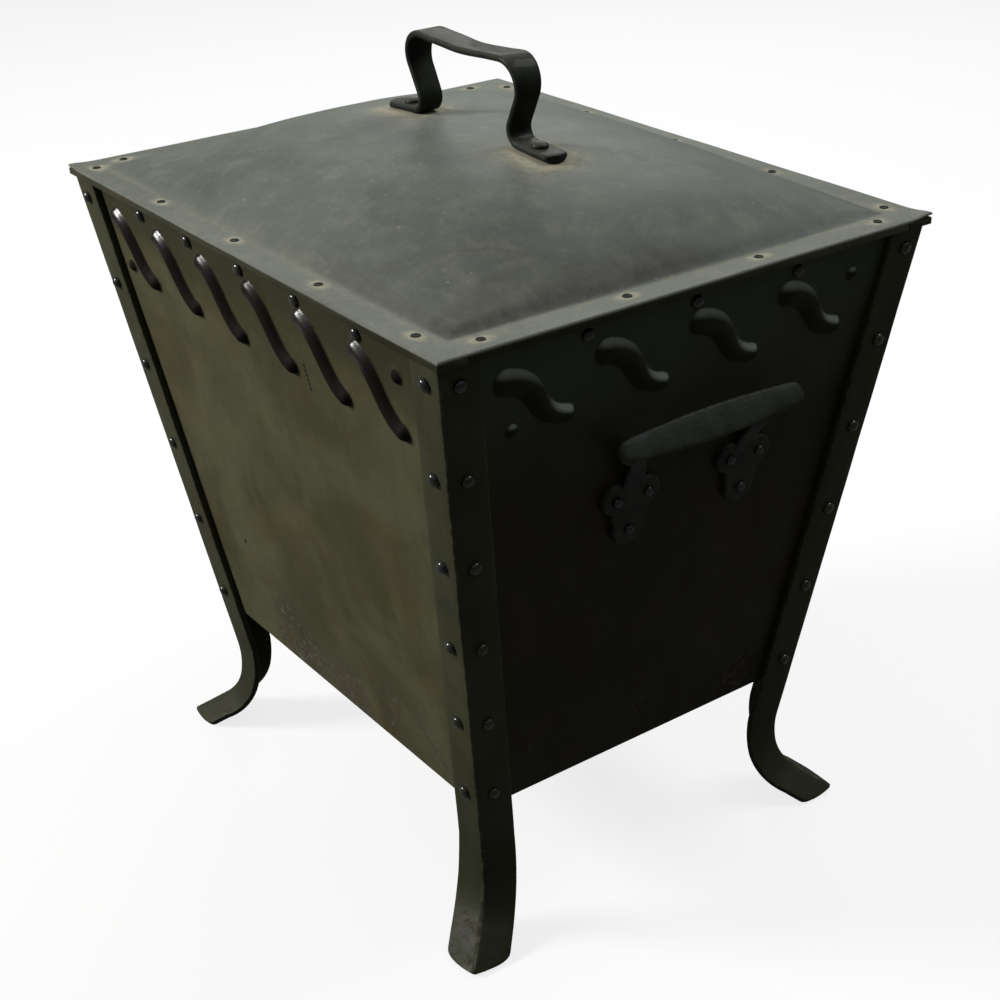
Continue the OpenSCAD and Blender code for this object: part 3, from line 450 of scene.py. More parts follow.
class Paint(Nodes):
    """One finish: its base colour is laid on layer by layer, and its roughness beside it."""

    def __init__(self, name):
        self.material = bpy.data.materials.new(name)
        super().__init__(self.material)
        self.shader = self.add("ShaderNodeBsdfPrincipled")
        output = self.add("ShaderNodeOutputMaterial")
        self.link(self.shader.outputs["BSDF"], output.inputs["Surface"])
        self.place = self.add("ShaderNodeTexCoord").outputs["Object"]
        self.base = None
        self.roughness = None

    def noise(self, size, detail=4.0, roughness=0.55, distortion=0.0, stretch=(1, 1, 1)):
        """Noise with blotches of about a size in metres."""
        mapping = self.add("ShaderNodeMapping")
        mapping.inputs["Scale"].default_value = stretch
        self.link(self.place, mapping.inputs["Vector"])
        node = self.add("ShaderNodeTexNoise")
        node.inputs["Scale"].default_value = 1 / size
        node.inputs["Detail"].default_value = detail
        node.inputs["Roughness"].default_value = roughness
        node.inputs["Distortion"].default_value = distortion
        self.link(mapping.outputs["Vector"], node.inputs["Vector"])
        return node.outputs["Fac"]

    def point_value(self, name):
        """A value carried by the mesh points."""
        return self.add("ShaderNodeAttribute", attribute_name=name).outputs["Fac"]

    def height(self):
        """Height above the ground in metres."""
        return self.part(self.place, "Z")

    def upward(self, low, high):
        """1 on faces that look up, 0 on upright ones."""
        normal = self.add("ShaderNodeNewGeometry").outputs["Normal"]
        return self.between(self.part(normal, "Z"), low, high)

    def mark(self, place, size):
        """1 at a place on the object, fading to 0 at a distance."""
        node = self.add("ShaderNodeVectorMath", operation="DISTANCE")
        self.link(self.place, node.inputs[0])
        node.inputs[1].default_value = place
        return self.between(node.outputs["Value"], 0.25 * size, size, 1, 0)

    def clouded(self, clouds, tint, dark, light):
        """The first layer: a darker and a lighter shade of a tint that run into each other."""
        self.base = self.blend(self.between(clouds, 0.3, 0.7), scaled(tint, dark), scaled(tint, light))

    def lay(self, tint, *shares):
        """A tint over the base, by the product of the shares."""
        self.base = self.blend(self.product(*shares), self.base, tint)

    def rough(self, pattern, low, high):
        """Roughness that varies with a pattern."""
        self.roughness = self.between(pattern, 0.3, 0.7, low, high)

    def roughen(self, *shares):
        """More roughness, by the product of the shares."""
        self.roughness = self.maths("ADD", self.roughness, self.product(*shares))

    def gloss_coat(self, weight, roughness):
        """A clear gloss over part of the paint."""
        self.feed(self.shader.inputs["Coat Weight"], weight)
        self.shader.inputs["Coat Roughness"].default_value = roughness

    def bumps(self, *layers):
        """Bump layers, each a (height, distance in metres) pair."""
        normal = None
        for height, distance in layers:
            node = self.add("ShaderNodeBump")
            node.inputs["Distance"].default_value = distance
            self.link(height, node.inputs["Height"])
            if normal:
                self.link(normal, node.inputs["Normal"])
            normal = node.outputs["Normal"]
        self.link(normal, self.shader.inputs["Normal"])

    def finish(self, specular):
        """The finished material."""
        self.feed(self.shader.inputs["Base Color"], self.base)
        self.feed(self.shader.inputs["Roughness"], self.roughness)
        self.shader.inputs["Specular IOR Level"].default_value = specular
        return self.material


# Finishes

def scaled(tint, factor):
    """A lighter or darker tint."""
    return tuple(min(1, factor * channel) for channel in tint)


def tint_of(name, factor=1.0):
    """One of the named colours, made lighter or darker by a factor."""
    return scaled(getattr(bpy.context.scene.coal_box_colours, name), factor)


# Places where the paint is rubbed through, with their size, in metres
WORN_PLACES = (
    ((-0.063, -0.128, 0.133), 0.022), ((-0.040, -0.125, 0.107), 0.040), ((0.015, -0.125, 0.107), 0.045),
    ((0.160, 0.072, 0.105), 0.028))
# Ends of the short scratch between the fourth and the fifth front rib, and the small dark dot low on the
# left
SCRATCH = ((0.0573, -0.1586, 0.3630), (0.0594, -0.1568, 0.3491))
SCRATCH_SPOTS = 6
SCRATCH_R = 0.0019
DARK_DOT = ((-0.0995, -0.1339, 0.1767), 0.0026)


class OldPaint(Paint):
    """Satin paint with soft clouding, warm smears, dust specks and a fine orange peel."""

    def __init__(self, name, tint, roughness):
        super().__init__(name)
        self.tint = tint
        clouds = self.noise(0.070, detail=6, roughness=0.62, distortion=0.4)
        self.smears = self.noise(0.030, detail=6, roughness=0.65, stretch=(1, 1, 0.35))
        warmth = self.noise(0.055, detail=4, roughness=0.6)
        specks = self.noise(0.0034, detail=3, roughness=0.7)
        grain = self.noise(0.0016, detail=2)
        browner = tuple(factor * channel for factor, channel in zip((1.35, 0.92, 0.62), tint))
        self.clouded(clouds, tint, 0.76, 1.26)
        self.lay(scaled(tint, 0.62), self.between(self.smears, 0.52, 0.78, 0, 0.40))
        self.lay(browner, self.between(warmth, 0.50, 0.68, 0, 0.22))
        self.lay(tint_of("dust", 0.45), self.between(specks, 0.70, 0.80, 0, 0.30))
        self.rough(self.smears, roughness - 0.05, roughness + 0.09)
        self.bumps((clouds, 0.0010), (self.smears, 0.00025), (grain, 0.00005))

    def tint_above(self, tint, low, high):
        """Another tint above a height, with an uneven edge."""
        drift = self.product(self.noise(0.09, detail=3), 0.06)
        above = self.between(self.maths("ADD", self.height(), drift), low, high)
        self.lay(tint, above, 0.9)

    def show_rust(self, strength, low=0.105, high=0.170):
        """Thin rust and bare iron in patches below a height and in the worn places."""
        blots = self.noise(0.034, detail=7, roughness=0.72, distortion=0.8)
        fine = self.noise(0.0045, detail=4, roughness=0.7)
        foot = self.product(self.between(self.height(), low, high, 1, 0), self.between(blots, 0.52, 0.62))
        patch = self.largest(foot, *(
            self.product(self.mark(place, size), self.between(blots, 0.40, 0.52))
            for place, size in WORN_PLACES))
        self.lay(tint_of("rust"), patch, self.between(fine, 0.35, 0.65, 0.2, strength))
        self.lay(tint_of("worn"), patch, self.between(fine, 0.50, 0.66, 0, 0.8 * strength))
        self.roughen(patch, 0.25)

    def scratch(self):
        """Black in the scratch and the small dark dot."""
        ends = [np.array(end) for end in SCRATCH]
        spots = [
            (tuple(ends[0] + (ends[1] - ends[0]) * k / (SCRATCH_SPOTS - 1)), SCRATCH_R)
            for k in range(SCRATCH_SPOTS)]
        marks = self.largest(*(self.mark(place, size) for place, size in spots + [DARK_DOT]))
        self.lay(tint_of("crest", 0.6), marks, 0.9)

    def blacken_crests(self, strength):
        """Painted shade: darker, duller crests on the pressed ribs. Gives the share of a crest at each
        point.
        """
        ridge = self.between(self.point_value("crest"), 0.05, 0.22)
        self.lay(tint_of("crest"), ridge, strength)
        self.roughen(ridge, self.between(self.smears, 0.3, 0.7, 0.14, 0.26))
        return ridge

    def rub_edges(self, strength):
        """Darker feet, and bare iron in chips along the edges."""
        self.lay(scaled(self.tint, 0.55), self.between(self.height(), 0.05, 0.17, 0.75, 0))
        chips = self.noise(0.0065, detail=5, roughness=0.7)
        self.lay(tint_of("worn"), self.point_value("edge"), self.between(chips, 0.42, 0.62, 0, strength))


def front_paint():
    """Olive front and back: darker under the rim as painted shade and grime, rusty at the foot, with glossy
    ribs whose crests are darkened as painted shade.
    """
    paint = OldPaint("front_paint", tint_of("panel"), 0.44)
    # Painted shade and grime: darker paint under the rim, where the lid's overhang shades the panel.
    paint.tint_above(tint_of("panel", 0.48), 0.385, 0.440)
    paint.show_rust(1.0)
    paint.scratch()
    # Painted shade: darker rib crests.
    ridge = paint.blacken_crests(0.96)
    paint.gloss_coat(paint.product(ridge, paint.point_value("shine")), 0.23)
    return paint.finish(0.03)


def side_paint():
    """Sides painted nearly black as painted shade: greener and lighter under the rim as a painted
    reflection, rib crests darkened as painted shade, and the ribs' upper faces lighter as painted light
    with a film of dust.
    """
    paint = OldPaint("side_paint", tint_of("side"), 0.44)
    # Painted reflection: lighter, greener paint under the rim.
    paint.tint_above(tint_of("side_high"), 0.325, 0.455)
    paint.show_rust(0.5)
    # Painted shade: darker rib crests.
    ridge = paint.blacken_crests(0.75)
    # Painted light with a film of dust: lighter upper faces of the ribs.
    paint.lay(tint_of("film"), ridge, paint.upward(0.12, 0.64), 0.95)
    return paint.finish(0.12)


def post_paint():
    """Posts and legs: a little rust on the feet, and rubbed edges."""
    paint = OldPaint("post_paint", tint_of("post"), 0.46)
    paint.show_rust(0.45, 0.004, 0.055)
    paint.rub_edges(0.34)
    return paint.finish(0.10)


def lid_bar_paint():
    """Bars under the lid's border, at half the panels' colour: painted shade under the lid's edge."""
    return OldPaint("lid_bar_paint", tint_of("panel", 0.5), 0.5).finish(0.1)


def dusty_lid():
    """Dull paint with clouds of fine dust, dust caught round the handle's feet, dark stains, and painted
    shade towards the dome's near corner.
    """
    paint = Paint("dusty_lid")
    clouds = paint.noise(0.10, detail=6, roughness=0.62, distortion=0.5)
    blots = paint.noise(0.040, detail=6, roughness=0.65, distortion=0.6)
    film = paint.noise(0.018, detail=7, roughness=0.72)
    crumbs = paint.noise(0.0050, detail=5, roughness=0.75)
    dots = paint.noise(0.0034, detail=1, roughness=0.4)
    specks = paint.noise(0.0030, detail=3, roughness=0.75)
    grain = paint.noise(0.0013, detail=2)
    settled = paint.product(paint.point_value("dust"), paint.between(crumbs, 0.33, 0.56, 0.45, 1.9))
    paint.clouded(clouds, tint_of("lid"), 0.80, 1.14)
    paint.lay(tint_of("lid", 0.60), paint.between(blots, 0.50, 0.75, 0, 0.40))
    paint.lay(tint_of("dust"), paint.between(film, 0.45, 0.75, 0, 0.30))
    paint.lay(tint_of("dust"), paint.between(specks, 0.58, 0.74, 0, 0.40))
    paint.lay(tint_of("dust", 1.4), paint.between(dots, 0.775, 0.80, 0, 0.45))
    paint.lay(tint_of("dust", 1.15), settled)
    # Real water marks and grime, and painted shade on the dome's near corner, all in the stain colour.
    paint.lay(tint_of("stain"), paint.point_value("stain"), paint.between(film, 0.35, 0.60, 1.0, 0.70))
    paint.lay(tint_of("worn"), paint.point_value("edge"), paint.between(crumbs, 0.45, 0.6, 0.1, 0.5))
    paint.rough(clouds, 0.50, 0.60)
    paint.roughen(settled, 0.35)
    paint.bumps((clouds, 0.0008), (blots, 0.0003), (grain, 0.00006))
    return paint.finish(0.12)


def forged_iron(name, tint, roughness, specular, worn=0.0, coat=0.0, dusty=0.0):
    """Blackened iron with hammer marks, a fine scale and rubbed high places."""
    paint = Paint(name)
    hammer = paint.noise(0.012, detail=3, roughness=0.5)
    scale = paint.noise(0.0028, detail=5, roughness=0.7)
    grain = paint.noise(0.0008, detail=2)
    paint.clouded(hammer, tint, 0.75, 1.3)
    paint.lay(tint_of("dust", 0.4), paint.between(scale, 0.62, 0.76, 0, 0.30))
    if dusty:
        lying = paint.between(scale, 0.30, 0.62, 0.5 * dusty, dusty)
        paint.lay(tint_of("dust", 0.8), paint.upward(0.35, 0.95), lying)
    if worn:
        paint.lay(tint_of("worn"), paint.point_value("edge"), paint.between(scale, 0.40, 0.60, 0, worn))
    paint.rough(scale, roughness - 0.05, roughness + 0.1)
    paint.gloss_coat(coat, 0.10)
    paint.bumps((hammer, 0.0005), (scale, 0.00012), (grain, 0.00003))
    return paint.finish(specular)


def glossy_rivet():
    """Black, shining heads on the box."""
    return forged_iron("glossy_rivet", tint_of("rivet"), 0.42, 0.1, coat=0.75)


def dull_rivet():
    """Flush heads in the lid's border."""
    return forged_iron("dull_rivet", tint_of("rivet"), 0.6, 0.1)


def lid_rivet():
    """Dusty heads on the feet of the lid's handle."""
    return forged_iron("lid_rivet", tint_of("rivet"), 0.5, 0.12, coat=0.05, dusty=0.30)


def forged_black():
    """Side handles."""
    return forged_iron("forged_black", tint_of("handle"), 0.46, 0.16)


def lid_strap():
    """Handle of the lid: darker, with a little dust on top."""
    return forged_iron("lid_strap", tint_of("handle", 0.5), 0.58, 0.08, worn=0.08, coat=0.05, dusty=0.14)


def sooty_iron():
    """Matte, scratched and sooty inner iron."""
    paint = Paint("sooty_iron")
    clouds = paint.noise(0.05, detail=6, roughness=0.65)
    coal = paint.noise(0.006, detail=5, roughness=0.75)
    paint.clouded(clouds, tint_of("inside"), 0.6, 1.5)
    paint.lay(tint_of("rust"), paint.between(coal, 0.60, 0.75, 0, 0.4))
    paint.roughness = 0.72
    paint.bumps((clouds, 0.0008), (coal, 0.0002))
    return paint.finish(0.2)


def shared(make):
    """A finish is made once and then shared. Its maker has its name."""
    return bpy.data.materials.get(make.__name__) or make()


# Walls and panels

def is_side(face):
    """Whether a wall is the right or the left one."""
    return face in (RIGHT, LEFT)


def of_face(group, face, name):
    """A size that the side walls have apart from the front and the back."""
    return getattr(group, f"{'side' if is_side(face) else 'front'}_{name}")


def quarter_turns(face, size=4):
    """Turn that brings the front wall to a face."""
    return Matrix.Rotation(math.radians(90 * face), size, "Z")


class Wall:
    """One wall of the box: x across, y up the slope, z outward, 0 on the posts' outer plane."""

    def __init__(self, face):
        box = bpy.context.scene.coal_box
        across, away = (box.bottom_w, box.top_w), (box.bottom_d, box.top_d)
        if is_side(face):
            across, away = away, across
        self.half_bottom, self.half_top = across[0] / 2, across[1] / 2
        self.half_depth = away[0] / 2
        self.slope = math.atan((away[1] - away[0]) / 2 / box.box_h)
        self.other_slope = math.atan((across[1] - across[0]) / 2 / box.box_h)
        self.length = box.box_h / math.cos(self.slope)
        self.to_world = (
            quarter_turns(face) @ Matrix.Translation((0, -self.half_depth, box.leg_h))
            @ Matrix.Rotation(math.radians(90) + self.slope, 4, "X"))

    def up(self, height, depth=0.0):
        """Distance up the slope at a height above the bottom edge, at a depth behind the outer plane."""
        return (height - depth * math.sin(self.slope)) / math.cos(self.slope)

    def half_at(self, y):
        """Half of the wall's width at a distance up the slope."""
        return self.half_bottom + (self.half_top - self.half_bottom) * y / self.length

    def edge_angle(self):
        """Lean of the wall's two edges in its own plane."""
        return math.atan((self.half_top - self.half_bottom) / self.length)

    def at(self, x, y, z):
        """Frame with its own z pointing out of the wall."""
        return self.to_world @ Matrix.Translation((x, y, z))


def row(number, pitch):
    """Places of a centred row."""
    return [(i - (number - 1) / 2) * pitch for i in range(number)]


# How much wider a rib's upper end is than its lower end
FRONT_RIB_FLARE = 1.1
SIDE_RIB_FLARE = 1.5
# Gloss on the ribs: its strength on each rib in a row, its place near the upper end, and its length
RIB_SHINE = (0.75, 0.85, 0.45, 0.35, 1.0, 1.0)
SHINE_PLACE = -0.70
SHINE_LENGTH = 0.24


def rib_line(width, height, bow, reach, samples=60):
    """Centre line of one rib: a lazy S whose ends run out almost level."""
    t = np.linspace(-reach, reach, samples)
    swing = math.radians(72)
    x = width / 2 * ((1 - bow) * t + bow * t ** 3)
    y = -height / 2 * np.sin(swing * t) / math.sin(swing)
    return t, x, y


def pressed(distance, half, foot):
    """Height share of pressed metal at a distance from a rib's middle: steep crest, soft foot."""
    crest = np.clip(1 - (distance / half) ** 2, 0, 1) ** 0.75
    low = (1 - np.clip(distance / foot, 0, 1) ** 2) ** 2
    return 0.80 * crest + 0.20 * low


def embossing(face, x, y):
    """Lift of the sheet by ribs and bosses at points of a wall: height, its share and the shine."""
    box, ribs = bpy.context.scene.coal_box, bpy.context.scene.coal_box_ribs
    middle = Wall(face).up(box.box_h - ribs.drop)
    width = of_face(ribs, face, "w")
    t, line_x, line_y = rib_line(width, of_face(ribs, face, "h"), of_face(ribs, face, "bow"), ribs.reach)
    flare = SIDE_RIB_FLARE if is_side(face) else FRONT_RIB_FLARE
    half = ribs.half_w * (1 + (flare - 1) * (1 - t) / 2)
    foot = half + ribs.foot_w - ribs.half_w
    lift = np.zeros_like(x)
    shine = np.zeros_like(x)
    for place, strength in zip(row(of_face(ribs, face, "count"), of_face(ribs, face, "pitch")), RIB_SHINE):
        spot = place - of_face(ribs, face, "shift")
        near = np.abs(x - spot) < width
        gap = np.hypot(
            x[near, None] - spot - line_x[None, :], y[near, None] - middle - line_y[None, :])
        heights = ribs.rise * pressed(gap, half[None, :], foot[None, :])
        lift[near] = np.maximum(lift[near], heights.max(1))
        glow = strength * np.exp(-((t[heights.argmax(1)] - SHINE_PLACE) / SHINE_LENGTH) ** 2)
        shine[near] = np.where(heights.max(1) > 0, glow, shine[near])
    for sign in (-1, 1):
        gap = np.hypot(x - sign * of_face(ribs, face, "boss_x"), y - middle - sign * ribs.boss_step)
        lift = np.maximum(lift, ribs.boss_rise * pressed(gap, ribs.boss_r, 1.7 * ribs.boss_r))
    return lift, lift / ribs.rise, shine


# Mesh of a panel: the finely divided strip under the rim, its rows, the rows below it, and the columns
FINE_STRIP = 0.070
FINE_ROW = 0.0010
COARSE_ROW = 0.008
PANEL_COLUMNS = 341
# The ledge starts this far behind the sheet's outer face
LEDGE_INSET = 0.0001


def panel_heights(box_h):
    """Row heights: coarse below, fine over the embossed strip."""
    split = box_h - FINE_STRIP
    low = np.linspace(0, split, int(split / COARSE_ROW) + 1)
    high = np.linspace(split, box_h, int(FINE_STRIP / FINE_ROW) + 1)
    return np.concatenate([low, high[1:]])


def ledge_mesh(face, wall, box, depth, rim_depth):
    """The ledge turned in at the foot of a panel."""
    half = wall.half_bottom - rim_depth / math.cos(wall.other_slope) - box.edge_gap
    half -= box.ledge_w if is_side(face) else 0
    front = wall.half_depth - depth / math.cos(wall.slope) - LEDGE_INSET
    turn = quarter_turns(face, 3)
    return loft([
        [turn @ Vector((side * half, inward * box.ledge_w - front, box.leg_h + up * box.sheet_t))
         for side, inward in ((-1, 0), (1, 0), (1, 1), (-1, 1))]
        for up in (0, 1)])


def panel_mesh(face):
    """Thin pressed sheet with its turned-in ledge, and each point's share of a crest and of its shine."""
    box, posts = bpy.context.scene.coal_box, bpy.context.scene.coal_box_posts
    wall = Wall(face)
    depth = posts.angle_t
    rim_depth = depth + box.sheet_t
    pull = (rim_depth if is_side(face) else depth) / math.cos(wall.other_slope) + box.edge_gap
    heights = panel_heights(box.box_h)
    shares = np.linspace(-1, 1, PANEL_COLUMNS)
    calm_edges = (1 - shares[None, :] ** 4) * (1 - (2 * heights[:, None] / box.box_h - 1) ** 6)
    layers, crest, gloss = [], [], []
    for layer_depth in (depth, rim_depth):
        y = wall.up(heights, layer_depth)[:, None] + np.zeros_like(shares)[None, :]
        x = ((wall.half_at(y) - pull) * shares[None, :]).ravel()
        y = y.ravel()
        lift, ridge, shine = embossing(face, x, y)
        wave = swings(x, y, 9, 7, 3.1 * face) + 0.4 * swings(x, y, 26, 22, 7.7 + face)
        z = -layer_depth + lift + box.wave * wave * calm_edges.ravel()
        layers.append([wall.to_world @ Vector(p) for p in zip(x, y, z)])
        crest.append(ridge)
        gloss.append(shine)
    sheet = thin_sheet(*layers, len(heights), len(shares))
    ledge = ledge_mesh(face, wall, box, depth, rim_depth)
    plain = [np.zeros(len(ledge[0]))]
    return joined([sheet, ledge]), {
        "crest": np.concatenate(crest + plain), "shine": np.concatenate(gloss + plain)}


# Posts

class CornerFrame:
    """The front right corner: Z up the corner edge, X outward between the flanges."""

    def __init__(self):
        box = bpy.context.scene.coal_box
        lean_x = (box.top_w - box.bottom_w) / 2
        lean_y = (box.top_d - box.bottom_d) / 2
        slope_side, slope_front = math.atan(lean_x / box.box_h), math.atan(lean_y / box.box_h)
        self.z = Vector((lean_x, -lean_y, box.box_h)).normalized()
        front = Vector((0, -math.cos(slope_front), -math.sin(slope_front)))
        side = Vector((math.cos(slope_side), 0, -math.sin(slope_side)))
        self.x = (front + side).normalized()
        self.y = self.z.cross(self.x)
        self.half_angle = math.pi / 2 - math.acos(front.dot(side)) / 2
        self.origin = Vector((box.bottom_w / 2, -box.bottom_d / 2, box.leg_h))
        self.lean = math.atan(math.hypot(lean_x, lean_y) / box.box_h)

    def world(self, x, y, z):
        """Place in the part's frame."""
        return self.origin + self.x * x + self.y * y + self.z * z

    def rise(self, x, y):
        """Height of a place above the corner edge's start, without its own z."""
        return self.x.z * x + self.y.z * y


# Points in each eased corner of the iron's outline, and the widest gap between others
CORNER_STEPS = 4
OUTLINE_GAP = 0.0045
# The outline's corners that get rubbed: the heel and the flanges' outer tips
RUBBED_CORNERS = (0, 1, 5)
# Rings along the straight post and along each of the knee, the ankle and the foot
POST_RINGS = 78
LEG_RINGS = 18
# Share of the flanges' opening that is reached at the end of the knee
KNEE_SHARE = 0.3
# Size of the iron's unevenness and how far it goes
IRON_SWELL = 0.035
IRON_UNEVEN = 0.00022
# Below this height the soles stay flat
SOLE_H = 0.002


def flange_axes(half):
    """Directions along a flange from the corner, and into its thickness."""
    return np.array([-math.cos(half), math.sin(half)]), np.array([-math.sin(half), -math.cos(half)])


def angle_outline(posts, half):
    """Outline of the angle iron with eased edges, and which points are rubbed edges."""
    run, inward = flange_axes(half)
    tip, thick = Vector(posts.angle_w * run), Vector(posts.angle_t * inward)
    corners = [
        (0, 0), tuple(tip), tuple(tip + thick), (-posts.angle_t / math.sin(half), 0),
        (tip.x + thick.x, -tip.y - thick.y), (tip.x, -tip.y)]
    edge_r = posts.edge_r
    eased = rounded(corners, [posts.heel_r, edge_r, edge_r, 2.2 * edge_r, edge_r, edge_r], CORNER_STEPS)
    points, edge = [], []
    for i, here in enumerate(eased):
        corner, step = divmod(i, CORNER_STEPS + 1)
        points.append(here)
        edge.append(1.0 if corner in RUBBED_CORNERS and 0 < step < CORNER_STEPS else 0.0)
        onward = eased[(i + 1) % len(eased)] - here
        fill = int(np.linalg.norm(onward) / OUTLINE_GAP)
        points += [here + onward * k / (fill + 1) for k in range(1, fill + 1)]
        edge += [0.0] * fill
    return points, edge


def leg_stations(corner, posts):
    """Run of the leg below the straight post: place, direction across, foot's share, width's share."""
    def across(turn):
        return np.array([math.cos(turn), math.sin(turn)])

    def bend(start, before, radius, turn):
        return start + radius * (across(before) - across(before + turn))

    knee = corner.lean + posts.knee_turn
    ankle = posts.foot_turn - posts.knee_turn
    heading = knee + ankle
    start = np.zeros(2)
    knee_end = bend(start, 0, posts.knee_r, knee)
    ankle_end = bend(knee_end, knee, posts.ankle_r, ankle)
    down_foot = np.array([math.sin(heading), -math.cos(heading)])
    shares = [i / LEG_RINGS for i in range(1, LEG_RINGS + 1)]
    stations = [
        (bend(start, 0, posts.knee_r, knee * t), across(knee * t), KNEE_SHARE * t, 1.0) for t in shares]
    stations += [
        (bend(knee_end, knee, posts.ankle_r, ankle * t), across(knee + ankle * t),
         KNEE_SHARE + (1 - KNEE_SHARE) * t, 1.0) for t in shares]
    for t in shares:
        run = posts.foot_len * math.sin(math.pi / 2 * t)
        beyond = max(0, (run - posts.foot_len + posts.foot_round) / posts.foot_round)
        stations.append((ankle_end + run * down_foot, across(heading), 1.0, 1 - beyond ** 1.7))
    return stations


def leg_ring(outline, corner, posts, station):
    """The iron's outline, widened and opened as it is at a station of the leg."""
    place, across, foot_share, width_share = station
    half = corner.half_angle + (posts.foot_splay - corner.half_angle) * foot_share
    width = posts.angle_w + (posts.foot_flange - posts.angle_w) * foot_share
    tip = 1.3 * posts.angle_t / math.tan(half)
    width = tip + (width - tip) * width_share
    run, inward = flange_axes(corner.half_angle)
    new_run, new_inward = flange_axes(half)
    ring = []
    for q in outline:
        local = np.array([q[0], abs(q[1])])
        out, aside = (local @ run) * width / posts.angle_w * new_run + (local @ inward) * new_inward
        x, z = place + out * across
        ring.append((x, math.copysign(max(aside, 0.0), q[1]), z))
    return ring


def post_mesh(seed):
    """Front right post with its leg and foot, and which points are rubbed edges."""
    box, posts = bpy.context.scene.coal_box, bpy.context.scene.coal_box_posts
    corner = CornerFrame()
    outline, edge = angle_outline(posts, corner.half_angle)
    leg = [leg_ring(outline, corner, posts, station) for station in leg_stations(corner, posts)]
    lowest = min(corner.rise(x, y) + corner.z.z * z for ring in leg for x, y, z in ring)
    foot = -(box.leg_h + lowest + posts.sole_cut) / corner.z.z
    tops = [(box.box_h - corner.rise(*q)) / corner.z.z for q in outline]
    rings = [
        [corner.world(*q, top + (foot - top) * k / POST_RINGS) for q, top in zip(outline, tops)]
        for k in range(POST_RINGS + 1)]
    for ring in leg:
        bent = [corner.world(x, y, z + foot) for x, y, z in ring]
        rings.append([Vector((v.x, v.y, max(v.z, 0.0))) for v in bent])
    points, faces = loft([ring[::-1] for ring in rings])
    uneven = [
        Vector((m.x, m.y, p.z)) if k < len(outline) or p.z < SOLE_H else m
        for k, (m, p) in enumerate(zip(wobble(points, IRON_SWELL, IRON_UNEVEN, seed), points))]
    return uneven, faces, edge[::-1] * len(rings)


# Rivets

# A dome head's rings, the height of its brim, and how far its underside lies below the sheet's face
DOME_RINGS = 7
BRIM = 0.0002
DIP = 0.0001
# Height of a hammered tail and how much wider than the shank it is
TAIL_H = 0.0008
TAIL_FLARE = 0.001


def revolve(profile, place, steps=20):
    """Closed solid turned round its own z from a list of (radius, height), top first."""
    points, faces = [place @ Vector((0, 0, profile[0][1]))], []
    for radius, height in profile[1:-1]:
        for k in range(steps):
            turn = 2 * math.pi * k / steps
            points.append(place @ Vector((radius * math.cos(turn), radius * math.sin(turn), height)))
    points.append(place @ Vector((0, 0, profile[-1][1])))
    last_ring = 1 + (len(profile) - 3) * steps
    for k in range(steps):
        after = (k + 1) % steps
        faces.append((0, 1 + k, 1 + after))
        faces.append((len(points) - 1, last_ring + after, last_ring + k))
        for ring in range(1, last_ring, steps):
            faces.append((ring + k, ring + k + steps, ring + after + steps, ring + after))
    return points, faces


def rivet(place, grip, head_d, flush, chance):
    """Dome rivet: z points out of the head, each a little different from the next."""
    sizes = bpy.context.scene.coal_box_rivets
    uneven = sizes.unevenness
    radius = head_d / 2 * (1 + uneven * chance.uniform(-0.5, 0.5))
    height = sizes.head_h * (1 + uneven * chance.uniform(-1.5, 0.7))
    tilt = Matrix.Rotation(uneven * chance.uniform(-0.7, 0.7), 4, "X")
    tilt = tilt @ Matrix.Rotation(uneven * chance.uniform(-0.7, 0.7), 4, "Y")
    profile = [(0, height)]
    for k in range(1, DOME_RINGS):
        t = math.pi / 2 * k / DOME_RINGS
        profile.append((radius * math.sin(t) ** 0.92, height * math.cos(t) ** 0.85))
    shank = sizes.shank_d / 2
    profile += [(radius, BRIM), (0.985 * radius, -DIP), (shank, -DIP)]
    if flush:
        profile += [(shank, TAIL_FLARE - grip), (shank + TAIL_FLARE, -grip), (0, -grip)]
    else:
        end = -grip - TAIL_H
        profile += [(shank, -grip), (shank + TAIL_FLARE, -grip), (shank + 0.8 * TAIL_FLARE, end), (0, end)]
    return revolve(profile, place @ tilt)


def rivet_group(name, node, body, spots, seed, make=glossy_rivet):
    """One row of rivets as one piece. Spots: (place, grip, head diameter, flush)."""
    chance = random.Random(seed)
    skin = joined([rivet(*spot, chance) for spot in spots])
    piece(name, skin, shared(make), body, node, sharp=60)


def post_rivet_spots(face, sign):
    """Places of the post rivets in one column of a wall."""
    box, posts = bpy.context.scene.coal_box, bpy.context.scene.coal_box_posts
    sizes = bpy.context.scene.coal_box_rivets
    wall = Wall(face)
    rim_depth = posts.angle_t + box.sheet_t
    top = sizes.post_count - 1
    spots = []
    for i in range(sizes.post_count):
        y = wall.up(sizes.post_rise + (box.box_h - sizes.post_drop - sizes.post_rise) * i / top)
        x = wall.half_at(y) - sizes.post_inset / math.cos(wall.edge_angle())
        grip = rim_depth + box.rim_bar_t if i == top else rim_depth
        spots.append((wall.at(sign * x, y, 0), grip, sizes.head_d, i == top))
    return spots


def rim_rivet_spots(face):
    """Places of the rivets under the rim of a wall."""
    box, posts = bpy.context.scene.coal_box, bpy.context.scene.coal_box_posts
    sizes = bpy.context.scene.coal_box_rivets
    wall = Wall(face)
    y = wall.up(box.box_h - sizes.rim_drop)
    grip = box.sheet_t + box.rim_bar_t
    return [
        (wall.at(x, y, -posts.angle_t), grip, sizes.head_d, True)
        for x in row(of_face(sizes, face, "count"), of_face(sizes, face, "pitch"))]


# Side handles

# Rivets of a plate, across and up, as shares of their spacing
PLATE_SPOTS = ((-0.5, 0.5), (0.5, 0.5), (0, -0.5))
# Steps round a plate, and the easing of its upper edge
PLATE_STEPS = 96
PLATE_EASE = 0.0007
